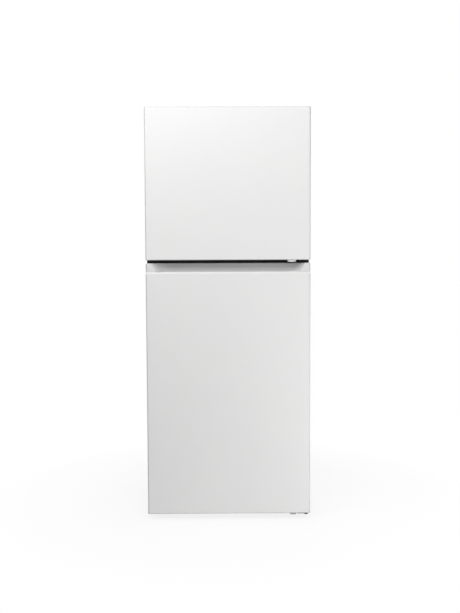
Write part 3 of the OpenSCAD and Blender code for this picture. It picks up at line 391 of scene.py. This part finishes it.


# the lower hinge is one zinc plate, with its pin nut and washer in black oxide: black is all that
# lies lower than the nut's top or further out than the washer's inner side; the plate's zinc is
# kept darker than the sheet zinc as painted shade, for its place under the door
hingeSet = {"zinc": ((0.24, 0.24, 0.25), (0.33, 0.33, 0.34)), "zincDrift": 0.006,
            "black": ((0.018, 0.018, 0.018), (0.032, 0.031, 0.030)), "blackDrift": 0.003,
            "gloss": (0.35, 0.5), "wear": 0.004, "bump": (0.0012, 0.00003),
            "nutBelowDoor": 0.0085, "washerSide": 0.2765, "blend": 0.0001}


def hingeFinish(nutTop, washerSide):
    material, tree, shader = startFinish("lowerHingeSteel", {"Metallic": 1.0})
    place, blend = splitUp(tree, where(tree)), hingeSet["blend"]
    isNut = combined(tree, "MAXIMUM",
                     between(tree, place["Z"], 1, 0, (nutTop, nutTop + blend)),
                     between(tree, place["X"], 0, 1, (washerSide, washerSide + blend)))
    zinc = tinted(tree, cloud(tree, hingeSet["zincDrift"]), *hingeSet["zinc"])
    black = tinted(tree, cloud(tree, hingeSet["blackDrift"]), *hingeSet["black"])
    gloss = between(tree, cloud(tree, hingeSet["wear"]), *hingeSet["gloss"])
    size, depth = hingeSet["bump"]
    tree.links.new(mixed(tree, isNut, zinc, black), shader.inputs["Base Color"])
    tree.links.new(gloss, shader.inputs["Roughness"])
    tree.links.new(raised(tree, cloud(tree, size), depth), shader.inputs["Normal"])
    return material


# one row per clear finish, and the size of the drift and the wear that they share
clearSet = {
    "shelfGlass": {
        "colours": ((0.90, 0.965, 0.945), (0.885, 0.955, 0.935)), "gloss": (0.01, 0.04),
        "ripple": (0.09, 0.00006), "sockets": {"Transmission Weight": 1.0, "IOR": 1.5}},
    "clearPlastic": {
        "colours": ((0.975, 0.985, 0.988), (0.965, 0.978, 0.983)), "gloss": (0.05, 0.1),
        "ripple": (0.03, 0.00006), "sockets": {"Transmission Weight": 0.95, "IOR": 1.49}},
    "frostedLens": {
        "colours": ((0.93, 0.94, 0.93), (0.90, 0.91, 0.90)), "gloss": (0.35, 0.5),
        "ripple": (0.002, 0.0003), "sockets": {"Transmission Weight": 0.75, "IOR": 1.49}},
}
clearDrift, clearWear = 0.15, 0.04


def clearFinish(name):
    values = clearSet[name]
    material, tree, shader = startFinish(name, values["sockets"])
    colour = tinted(tree, cloud(tree, clearDrift), *values["colours"])
    gloss = between(tree, cloud(tree, clearWear, detailSet["gloss"]), *values["gloss"])
    size, depth = values["ripple"]
    ripple = raised(tree, cloud(tree, size, detailSet["bump"]), depth)
    tree.links.new(colour, shader.inputs["Base Color"])
    tree.links.new(gloss, shader.inputs["Roughness"])
    tree.links.new(ripple, shader.inputs["Normal"])
    return material


handleBox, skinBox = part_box("fridge_door_handle_cap"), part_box("fridge_door_skin")
finishes = {name: plainFinish(name) for name in finishSet}
finishes.update({name: clearFinish(name) for name in clearSet})
finishes["zincSheet"] = zincFinish()
finishes["lowerHingeSteel"] = hingeFinish(skinBox[0].z - hingeSet["nutBelowDoor"],
                                          hingeSet["washerSide"])
# painted shade on the rounded edges of the door paint, the fridge door's top and foot, and the
# handle cap's ends
foldedEdges(finishes["doorPaint"], "Z", 0, "allOver")
foldedEdges(variantOf("doorPaint", "fridgePaint"), "Z", skinBox[1].z, "belowTop")
foldedEdges(finishes["fridgePaint"], "Z", skinBox[0].z, "nearFoot")
foldedEdges(variantOf("capPlastic", "handlePlastic"), "X", handleBox[1].x, "capEnds")
# painted shade deeper in the handle's scoop
deepScoop(finishes["handlePlastic"], handleBox[0].y)

# the usual finish of each slot, and the nodes that differ from it
slotFinish = {
    "white_steel": "doorPaint", "white_plastic": "capPlastic", "liner_plastic": "linerPlastic",
    "insulation": "foamSkin", "black_rail": "railBlack", "galvanised": "zincSheet",
    "black_plastic": "mouldedBlack", "black_rubber": "rubberBlack",
    "gasket_vinyl": "gasketVinyl", "copper_tube": "copperTube",
    "fin_aluminium": "finAluminium", "shelf_glass": "shelfGlass",
    "clear_plastic": "clearPlastic", "white_wire": "wireCoat", "grey_knob": "knobGrey",
}
nodeFinish = {
    "cabinet_shell": "cabinetPaint", "compressor": "shellBlack", "lamp_lens": "frostedLens",
    "bottom_hinge": "lowerHingeSteel", "fridge_door_handle_cap": "handlePlastic",
    # the lower door's stop takes that darker grey, painted shade
    "fridge_door_skin": "fridgePaint", "fridge_door_stop": "stopPaintedShade",
}

# bevel width in metres on the edges of the nodes that show; nodes not listed keep crisp edges
edgeSoftness = {
    "cabinet_shell": 0.0004, "freezer_door_skin": 0.0004, "fridge_door_skin": 0.0004,
    "fridge_door_handle_cap": 0.0012, "freezer_door_top_cap": 0.0005,
    "freezer_door_bottom_cap": 0.0006, "fridge_door_bottom_cap": 0.0006,
    "top_hinge_cover": 0.002, "control_box": 0.0012, "lamp_lens": 0.001,
    "evaporator_cover": 0.0007, "shelf_trims": 0.0008, "compressor": 0.0012,
    "drain_pan": 0.0006, "wall_spacers": 0.0015, "thermostat_knob": 0.0008,
    "freezer_door_stop": 0.0008, "fridge_door_stop": 0.0008, "middle_hinge": 0.0005,
    "bottom_hinge": 0.0005, "top_hinge": 0.0005, "crisper_left": 0.0007,
    "crisper_right": 0.0007, "air_duct": 0.0008, "freezer_liner": 0.0015,
    "fridge_liner": 0.0015,
}

# metres for the weld, degrees for the angles past which an edge is rounded or kept crisp
dressSet = {"weld": 0.00001, "bevelSteps": 2, "bevelAngle": 40, "crispAngle": 46}


def dressNode(node, slotName):
    finish = nodeFinish.get(node.name, slotFinish[slotName])
    node.data.materials.clear()
    node.data.materials.append(finishes[finish])
    bpy.context.view_layer.objects.active = node
    if node.data.has_custom_normals:
        bpy.ops.mesh.customdata_custom_splitnormals_clear()
    node.data.shade_smooth()
    weld = node.modifiers.new("weld", "WELD")
    weld.merge_threshold = dressSet["weld"]
    if node.name in edgeSoftness:
        bevel = node.modifiers.new("softEdges", "BEVEL")
        bevel.width = edgeSoftness[node.name]
        bevel.segments = dressSet["bevelSteps"]
        bevel.limit_method = "ANGLE"
        bevel.angle_limit = math.radians(dressSet["bevelAngle"])
    crisp = node.modifiers.new("crispEdges", "EDGE_SPLIT")
    crisp.split_angle = math.radians(dressSet["crispAngle"])
    even = node.modifiers.new("evenFaces", "WEIGHTED_NORMAL")
    even.keep_sharp = True


slots = {part["node"]: part["material_slot"] for part in frame["record"]["subparts"]}
for name, node in frame["nodes"].items():
    dressNode(node, slots[name])
print("finishes on the fixed parts")


# hand tools: everything is deselected first, and edit mode picks faces by their place or normal;
# flat is how far along z a normal points on a face that counts as up or down, and angles past
# which an edge stays sharp are degrees, as is the turn from one copy to the next
toolSet = {"flat": 0.9, "level": 0.00001, "sharpAngle": 35, "roundAngle": 50, "copySpin": 37}


def begin():
    bpy.ops.object.select_all(action="DESELECT")


def facesUp(centre, normal):
    return normal.z > toolSet["flat"]


def facesDown(centre, normal):
    return normal.z < -toolSet["flat"]


def topOf(level):
    return lambda centre, normal: facesUp(centre, normal) and centre.z > level


def pickFaces(piece, wanted):
    if piece.mode != "EDIT":
        bpy.context.view_layer.objects.active = piece
        bpy.ops.object.mode_set(mode="EDIT")
    bpy.ops.mesh.select_mode(type="FACE")
    bpy.ops.mesh.select_all(action="DESELECT")
    mesh = bmesh.from_edit_mesh(piece.data)
    for face in mesh.faces:
        if wanted(face.calc_center_median(), face.normal):
            face.select_set(True)
    bmesh.update_edit_mesh(piece.data)


def pull(rise):
    bpy.ops.mesh.extrude_region_move(TRANSFORM_OT_translate={"value": (0, 0, rise)})


def climb(steps):
    for rise, grow in steps:
        pull(rise)
        bpy.ops.transform.resize(value=(grow, grow, 1), center_override=(0, 0, 0))


# a narrower face inside the picked one, pulled out by a rise or sunk by one below 0
def stepIn(inset, rise):
    bpy.ops.mesh.inset(thickness=inset)
    pull(rise)


def cylinderFrom(foot, sides, radius, depth):
    begin()
    bpy.ops.mesh.primitive_cylinder_add(vertices=sides, radius=radius, depth=depth,
                                        location=(0, 0, foot + depth / 2))
    return bpy.context.active_object


def topHeight(piece):
    return max(vertex.co.z for vertex in piece.data.vertices)


def applied(piece, kind, **values):
    bpy.context.view_layer.objects.active = piece
    change = piece.modifiers.new("change", kind)
    for key, value in values.items():
        setattr(change, key, value)
    bpy.ops.object.modifier_apply(modifier=change.name)


def joinedTo(piece, other, how):
    applied(piece, "BOOLEAN", object=other, operation=how, solver="EXACT")
    bpy.data.objects.remove(other)


def settle(piece, angle=toolSet["sharpAngle"]):
    begin()
    piece.select_set(True)
    bpy.context.view_layer.objects.active = piece
    bpy.ops.object.transform_apply(location=True, rotation=True, scale=True)
    bpy.ops.object.shade_smooth_by_angle(angle=math.radians(angle))


# copies of one modelled piece, each with its own mesh and turned a little from the one before;
# facing turns its top from +z to that side
tilts = {"up": (0, "X"), "front": (90, "X"), "back": (-90, "X"), "right": (90, "Y")}


def copiesOf(master, places, facing="up"):
    angle, axis = tilts[facing]
    tilt = Matrix.Rotation(math.radians(angle), 4, axis)
    copies = []
    for count, place in enumerate(places):
        begin()
        master.select_set(True)
        bpy.context.view_layer.objects.active = master
        bpy.ops.object.duplicate(linked=False)
        copy = bpy.context.active_object
        spin = Matrix.Rotation(math.radians(toolSet["copySpin"] * count), 4, "Z")
        copy.matrix_world = Matrix.Translation(place) @ tilt @ spin
        bpy.ops.object.transform_apply(location=True, rotation=True, scale=True)
        copies.append(copy)
    return copies


def asOne(pieces):
    begin()
    for piece in pieces:
        piece.select_set(True)
    bpy.context.view_layer.objects.active = pieces[0]
    if len(pieces) > 1:
        bpy.ops.object.join()
    return pieces[0]


def addPiece(piece, name, body, slotName, finish, *standsFor):
    piece.name = name
    piece.data.materials.clear()
    piece.data.materials.append(finishes[finish])
    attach(piece, body)
    if standsFor:
        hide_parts(*standsFor)


# magnetic door seals: steps across the section, in millimetres, as way in from the outer edge
# and rise off the door, then the rounding of the creases between them, in metres
gasketSet = {
    "steps": ((1.2, 0.0), (1.2, 1.3), (2.9, 2.5), (1.5, 3.8), (2.9, 5.1), (0.5, 6.3),
              (0.0, 7.1), (0.0, 11.1), (0.6, 11.7), (4.2, 11.5), (6.4, 11.5), (10.2, 11.7),
              (10.8, 11.1), (10.8, 7.3), (10.2, 6.5), (8.4, 5.5), (9.8, 4.3), (8.6, 3.1),
              (9.4, 2.5), (13.4, 4.6), (14.0, 4.0), (12.6, 1.3), (12.6, 0.0)),
    "crease": 0.00022, "creaseSteps": 2, "creaseAngle": 25, "sharpAngle": 40, "merge": 0.00005,
}


def modelGasket(name, node, body):
    low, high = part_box(node)
    middle, size = (low + high) / 2, high - low
    begin()
    bpy.ops.mesh.primitive_plane_add(size=1, location=(middle.x, low.y, middle.z),
                                     rotation=(math.pi / 2, 0, 0))
    seal = bpy.context.active_object
    seal.scale = (size.x, size.z, 1)
    bpy.ops.object.transform_apply(location=True, rotation=True, scale=True)
    bpy.ops.object.mode_set(mode="EDIT")
    bpy.ops.mesh.select_all(action="SELECT")
    bpy.ops.mesh.delete(type="ONLY_FACE")
    bpy.ops.mesh.select_mode(type="EDGE")
    bpy.ops.mesh.select_all(action="SELECT")
    wide, tall, rise = size.x, size.z, 0.0
    steps = [(inward / 1000, up / 1000) for inward, up in gasketSet["steps"]]
    for count, (inward, up) in enumerate(steps + steps[:1]):
        if count:
            bpy.ops.mesh.extrude_edges_move()
        newWide, newTall = size.x - 2 * inward, size.z - 2 * inward
        bpy.ops.transform.resize(value=(newWide / wide, 1, newTall / tall),
                                 center_override=middle)
        bpy.ops.transform.translate(value=(0, up - rise, 0))
        wide, tall, rise = newWide, newTall, up
    bpy.ops.mesh.select_all(action="SELECT")
    bpy.ops.mesh.remove_doubles(threshold=gasketSet["merge"])
    bpy.ops.mesh.normals_make_consistent(inside=False)
    bpy.ops.object.mode_set(mode="OBJECT")
    applied(seal, "BEVEL", width=gasketSet["crease"], segments=gasketSet["creaseSteps"],
            limit_method="ANGLE", angle_limit=math.radians(gasketSet["creaseAngle"]))
    settle(seal, gasketSet["sharpAngle"])
    addPiece(seal, name, body, "gasket_vinyl", "gasketVinyl", node)


modelGasket("freezerSeal", "freezer_door_gasket", "freezer_door")
modelGasket("fridgeSeal", "fridge_door_gasket", "fridge_door")
print("door seals modelled")


# screws, each modelled once at the origin with its head upwards, in metres: climbs are steps of
# rise and growth, a shank is radius and length, a dish is inset and depth, and the foot of the
# hexagon lies at that share of its flange's rise
panSet = {"radius": 0.004, "sides": 28, "edge": 0.0008,
          "climb": ((0.0005, 0.95), (0.0004, 0.86), (0.0003, 0.72)), "shank": (0.0021, 0.0026),
          "cross": (0.0046, 0.0010, 0.0022), "crossTaper": 0.55}
hexSet = {"radius": 0.0044, "rise": 0.0029, "foot": 0.6, "edge": 0.0004, "edgeSteps": 2,
          "dish": (0.0009, 0.0005), "flangeRadius": 0.005, "flangeSides": 36,
          "flangeRise": 0.0009, "flangeClimb": ((0.0002, 0.9),), "shank": (0.0024, 0.002)}


def modelPanScrew():
    screw = cylinderFrom(0, panSet["sides"], panSet["radius"], panSet["edge"])
    settle(screw)
    pickFaces(screw, facesUp)
    climb(panSet["climb"])
    pickFaces(screw, facesDown)
    radius, length = panSet["shank"]
    stepIn(panSet["radius"] - radius, -length)
    bpy.ops.object.mode_set(mode="OBJECT")
    top = topHeight(screw)
    taper = panSet["crossTaper"]
    for turn in (0, math.pi / 2):
        begin()
        bpy.ops.mesh.primitive_cube_add(size=1, location=(0, 0, top), rotation=(0, 0, turn))
        blade = bpy.context.active_object
        blade.scale = panSet["cross"]
        settle(blade)
        pickFaces(blade, facesDown)
        bpy.ops.transform.resize(value=(taper, taper, 1), center_override=(0, 0, top))
        bpy.ops.object.mode_set(mode="OBJECT")
        joinedTo(screw, blade, "DIFFERENCE")
    settle(screw)
    return screw


def modelHexBolt():
    flange = hexSet["flangeRise"]
    bolt = cylinderFrom(flange * hexSet["foot"], 6, hexSet["radius"], hexSet["rise"])
    settle(bolt)
    pickFaces(bolt, facesUp)
    bpy.ops.mesh.bevel(offset=hexSet["edge"], segments=hexSet["edgeSteps"], affect="EDGES")
    bpy.ops.object.mode_set(mode="OBJECT")
    pickFaces(bolt, topOf(topHeight(bolt) - toolSet["level"]))
    inset, depth = hexSet["dish"]
    stepIn(inset, -depth)
    bpy.ops.object.mode_set(mode="OBJECT")
    washer = cylinderFrom(0, hexSet["flangeSides"], hexSet["flangeRadius"], flange)
    settle(washer)
    pickFaces(washer, facesUp)
    climb(hexSet["flangeClimb"])
    pickFaces(washer, facesDown)
    radius, length = hexSet["shank"]
    stepIn(hexSet["flangeRadius"] - radius, -length)
    bpy.ops.object.mode_set(mode="OBJECT")
    joinedTo(bolt, washer, "UNION")
    settle(bolt)
    return bolt


# where they go: feet of the heads, in metres
screwPlaces = {
    "hexUp": ((0.248, -0.248, 1.491), (0.248, -0.218, 1.491), (0.282, -0.218, 1.491)),
    "panFront": ((0.250, -0.2712, 0.96075), (0.268, -0.2712, 0.96075),
                 (0.286, -0.2712, 0.96075), (0.264, -0.2705, 0.028), (0.284, -0.2705, 0.028)),
    "panelSides": {"x": 0.293, "y": 0.315, "rows": (0.30, 0.59, 0.88, 1.17, 1.44)},
    "panelTop": {"xs": (-0.19, 0.0, 0.19), "y": 0.315, "z": 1.481},
    "tray": {"xs": (-0.262, -0.09, 0.09, 0.262), "y": 0.313, "z": 0.041},
    "mounts": {"xs": (-0.208, -0.052), "ys": (0.1595, 0.2675), "z": 0.050},
}


def placeScrews():
    pan, hexHead = modelPanScrew(), modelHexBolt()
    sides, mounts = screwPlaces["panelSides"], screwPlaces["mounts"]
    levelRows = (screwPlaces["panelTop"], screwPlaces["tray"])
    hinges = copiesOf(hexHead, screwPlaces["hexUp"])
    hinges += copiesOf(pan, screwPlaces["panFront"], "front")
    addPiece(asOne(hinges), "hingeScrews", "cabinet", "galvanised", "platedSteel",
             "cabinet_screws")
    rear = [(side * sides["x"], sides["y"], z) for z in sides["rows"] for side in (-1, 1)]
    rear += [(x, row["y"], row["z"]) for row in levelRows for x in row["xs"]]
    addPiece(asOne(copiesOf(pan, rear, "back")), "rearScrews", "cabinet", "galvanised",
             "platedSteel")
    corners = [(x, y, mounts["z"]) for x in mounts["xs"] for y in mounts["ys"]]
    addPiece(asOne(copiesOf(hexHead, corners)), "compressorBolts", "cabinet", "galvanised",
             "platedSteel")
    for master in (pan, hexHead):
        bpy.data.objects.remove(master)


placeScrews()
print("screws placed")


# round plastic buttons: plugs of the filling holes at the back, and caps over the screws inside
buttonSet = {
    "foamPlugs": {
        "radius": 0.0125, "edge": 0.0007, "climb": ((0.0004, 0.95), (0.0003, 0.86)),
        "dish": (0.004, 0.0005), "facing": "back", "slot": "black_plastic",
        "finish": "mouldedBlack",
        "places": ((-0.12, 0.314, 0.325), (0.12, 0.314, 0.325), (0.0, 0.314, 1.43))},
    "coverCaps": {
        "radius": 0.0052, "edge": 0.0005,
        "climb": ((0.0004, 0.93), (0.0004, 0.78), (0.0002, 0.6)),
        "dish": (0.0008, 0.0002), "facing": "front", "slot": "liner_plastic",
        "finish": "linerPlastic",
        "places": ((-0.225, 0.195, 1.012), (0.225, 0.195, 1.012), (-0.225, 0.195, 1.406),
                   (0.225, 0.195, 1.406), (0.0, 0.252, 0.372), (0.0, 0.252, 0.9))},
}
buttonSides = 40


def modelButtons(name):
    values = buttonSet[name]
    button = cylinderFrom(0, buttonSides, values["radius"], values["edge"])
    settle(button)
    pickFaces(button, facesUp)
    climb(values["climb"])
    inset, depth = values["dish"]
    stepIn(inset, -depth)
    bpy.ops.object.mode_set(mode="OBJECT")
    settle(button, toolSet["roundAngle"])
    addPiece(asOne(copiesOf(button, values["places"], values["facing"])), name, "cabinet",
             values["slot"], values["finish"])
    bpy.data.objects.remove(button)


for name in buttonSet:
    modelButtons(name)
print("buttons placed")


# compressor: brazed sleeves on its lines, the pinched filling tube whose end steps are rise and
# growth across and flat, and the wire bail over its terminal cover
sleeveSet = {"radius": 0.0045, "length": 0.004, "sides": 24, "taper": (0.0016, 0.76),
             "upright": ((0.235, 0.2135, 0.188), (0.235, 0.2135, 0.070)),
             "level": ((-0.052, 0.2135, 0.160), (-0.052, 0.2355, 0.090))}
fillTubeSet = {"points": ((-0.092, 0.262, 0.118), (-0.092, 0.283, 0.118), (-0.092, 0.283, 0.157)),
               "radius": 0.003, "bend": 0.009, "roundness": 3, "endReach": 0.0001,
               "pinch": ((0.004, 1.35, 0.34), (0.011, 1.0, 1.0), (0.001, 0.92, 0.7))}
bailSet = {"points": ((-0.186, 0.1856, 0.120), (-0.2229, 0.1856, 0.120),
                      (-0.2229, 0.2414, 0.120), (-0.186, 0.2414, 0.120)),
           "radius": 0.0011, "bend": 0.0079, "roundness": 2}
wireSet = {"seed": 0.001, "bendSteps": 6, "merge": 0.00002}


def modelSleeves():
    length = sleeveSet["length"]
    sleeve = cylinderFrom(-length / 2, sleeveSet["sides"], sleeveSet["radius"], length)
    rise, grow = sleeveSet["taper"]
    for side, wanted in ((1, facesUp), (-1, facesDown)):
        pickFaces(sleeve, wanted)
        climb(((rise * side, grow),))
    bpy.ops.object.mode_set(mode="OBJECT")
    settle(sleeve, toolSet["roundAngle"])
    sleeves = copiesOf(sleeve, sleeveSet["upright"])
    sleeves += copiesOf(sleeve, sleeveSet["level"], "right")
    addPiece(asOne(sleeves), "brazedSleeves", "cabinet", "copper_tube", "brazeBronze")
    bpy.data.objects.remove(sleeve)


# a round bar along some points: one vertex drawn from point to point, with its corners rounded
def bentWire(values):
    points = [Vector(p) for p in values["points"]]
    begin()
    bpy.ops.mesh.primitive_plane_add(size=wireSet["seed"], location=points[0])
    wire = bpy.context.active_object
    settle(wire)
    bpy.ops.object.mode_set(mode="EDIT")
    bpy.ops.mesh.select_all(action="SELECT")
    bpy.ops.mesh.merge(type="CENTER")
    bpy.ops.mesh.select_mode(type="VERT")
    bpy.ops.mesh.select_all(action="SELECT")
    for here, there in zip(points, points[1:]):
        bpy.ops.mesh.extrude_vertices_move(TRANSFORM_OT_translate={"value": there - here})
    mesh = bmesh.from_edit_mesh(wire.data)
    for vertex in mesh.verts:
        vertex.select_set(len(vertex.link_edges) == 2)
    bmesh.update_edit_mesh(wire.data)
    bpy.ops.mesh.bevel(offset=values["bend"], segments=wireSet["bendSteps"], affect="VERTICES")
    bpy.ops.object.mode_set(mode="OBJECT")
    bpy.ops.object.convert(target="CURVE")
    wire = bpy.context.active_object
    wire.data.bevel_depth = values["radius"]
    wire.data.bevel_resolution = values["roundness"]
    wire.data.use_fill_caps = True
    bpy.ops.object.convert(target="MESH")
    wire = bpy.context.active_object
    bpy.ops.object.mode_set(mode="EDIT")
    bpy.ops.mesh.select_all(action="SELECT")
    bpy.ops.mesh.remove_doubles(threshold=wireSet["merge"])
    bpy.ops.mesh.normals_make_consistent(inside=False)
    bpy.ops.object.mode_set(mode="OBJECT")
    settle(wire, toolSet["roundAngle"])
    return wire


def modelFillTube():
    pipe, end = bentWire(fillTubeSet), Vector(fillTubeSet["points"][-1])
    pickFaces(pipe, topOf(end.z - fillTubeSet["endReach"]))
    for rise, across, flat in fillTubeSet["pinch"]:
        pull(rise)
        bpy.ops.transform.resize(value=(across, flat, 1), center_override=end)
    bpy.ops.object.mode_set(mode="OBJECT")
    settle(pipe, toolSet["roundAngle"])
    addPiece(pipe, "fillTube", "cabinet", "copper_tube", "copperTube")


modelSleeves()
modelFillTube()
addPiece(bentWire(bailSet), "terminalBail", "cabinet", "galvanised", "platedSteel")
print("compressor fittings modelled")


# figures round the thermostat knob, in metres and degrees, and the white line on its grip
dialSet = {"middle": (-0.055, -0.19, 0.90675), "reach": 0.0162,
           "size": 0.0042, "thick": 0.00012, "angles": (218, 180, 142, 38, 0, -38)}
gripLineSet = {"front": -0.205, "middle": 0.9118, "size": (0.0007, 0.0003, 0.006),
               "edge": 0.0001, "edgeSteps": 2}


def modelDial():
    x, y, z = dialSet["middle"]
    figures = []
    for number, angle in enumerate(dialSet["angles"], 1):
        begin()
        bpy.ops.object.text_add(location=(0, 0, 0))
        figure = bpy.context.active_object
        figure.data.body = str(number)
        figure.data.size = dialSet["size"]
        figure.data.extrude = dialSet["thick"]
        figure.data.align_x, figure.data.align_y = "CENTER", "CENTER"
        bpy.ops.object.convert(target="MESH")
        figure = bpy.context.active_object
        turn, reach = math.radians(angle), dialSet["reach"]
        figure.location = (x + reach * math.cos(turn), y, z + reach * math.sin(turn))
        figure.rotation_euler = (math.pi / 2, 0, 0)
        settle(figure)
        figures.append(figure)
    addPiece(asOne(figures), "dialFigures", "cabinet", "grey_knob", "dialPrint")


def modelGripLine():
    begin()
    place = (dialSet["middle"][0], gripLineSet["front"], gripLineSet["middle"])
    bpy.ops.mesh.primitive_cube_add(size=1, location=place)
    line = bpy.context.active_object
    line.scale = gripLineSet["size"]
    settle(line)
    applied(line, "BEVEL", width=gripLineSet["edge"], segments=gripLineSet["edgeSteps"])
    settle(line)
    addPiece(line, "gripLine", "knob", "white_plastic", "capPlastic")


modelDial()
modelGripLine()
print("dial marked")


# floor: pale near the object so that it keeps the shadow, and plain white further out; lift is
# the share of white, from and to, over the metres of shadowReach
floorSet = {"size": 24.0, "colour": (0.93, 0.93, 0.93), "shadowReach": (0.4, 1.0),
            "lift": (0.84, 1.0)}


def layFloor():
    begin()
    bpy.ops.mesh.primitive_plane_add(size=floorSet["size"], location=(0, 0, 0))
    floor = bpy.context.active_object
    floor.name = "studioFloor"
    material = bpy.data.materials.new("paleFloor")
    material.use_nodes = True
    tree = material.node_tree
    tree.nodes.clear()
    out = tree.nodes.new("ShaderNodeOutputMaterial")
    matt = tree.nodes.new("ShaderNodeBsdfDiffuse")
    matt.inputs["Color"].default_value = (*floorSet["colour"], 1)
    glow = tree.nodes.new("ShaderNodeEmission")
    glow.inputs["Strength"].default_value = 1.0
    mix = tree.nodes.new("ShaderNodeMixShader")
    length = tree.nodes.new("ShaderNodeVectorMath")
    length.operation = "LENGTH"
    tree.links.new(where(tree), length.inputs[0])
    far = between(tree, length.outputs["Value"], *floorSet["lift"], floorSet["shadowReach"])
    tree.links.new(combined(tree, "MULTIPLY", far, whenSeen(tree)), mix.inputs["Fac"])
    tree.links.new(matt.outputs[0], mix.inputs[1])
    tree.links.new(glow.outputs[0], mix.inputs[2])
    tree.links.new(mix.outputs[0], out.inputs["Surface"])
    floor.data.materials.append(material)


layFloor()
print("floor laid")
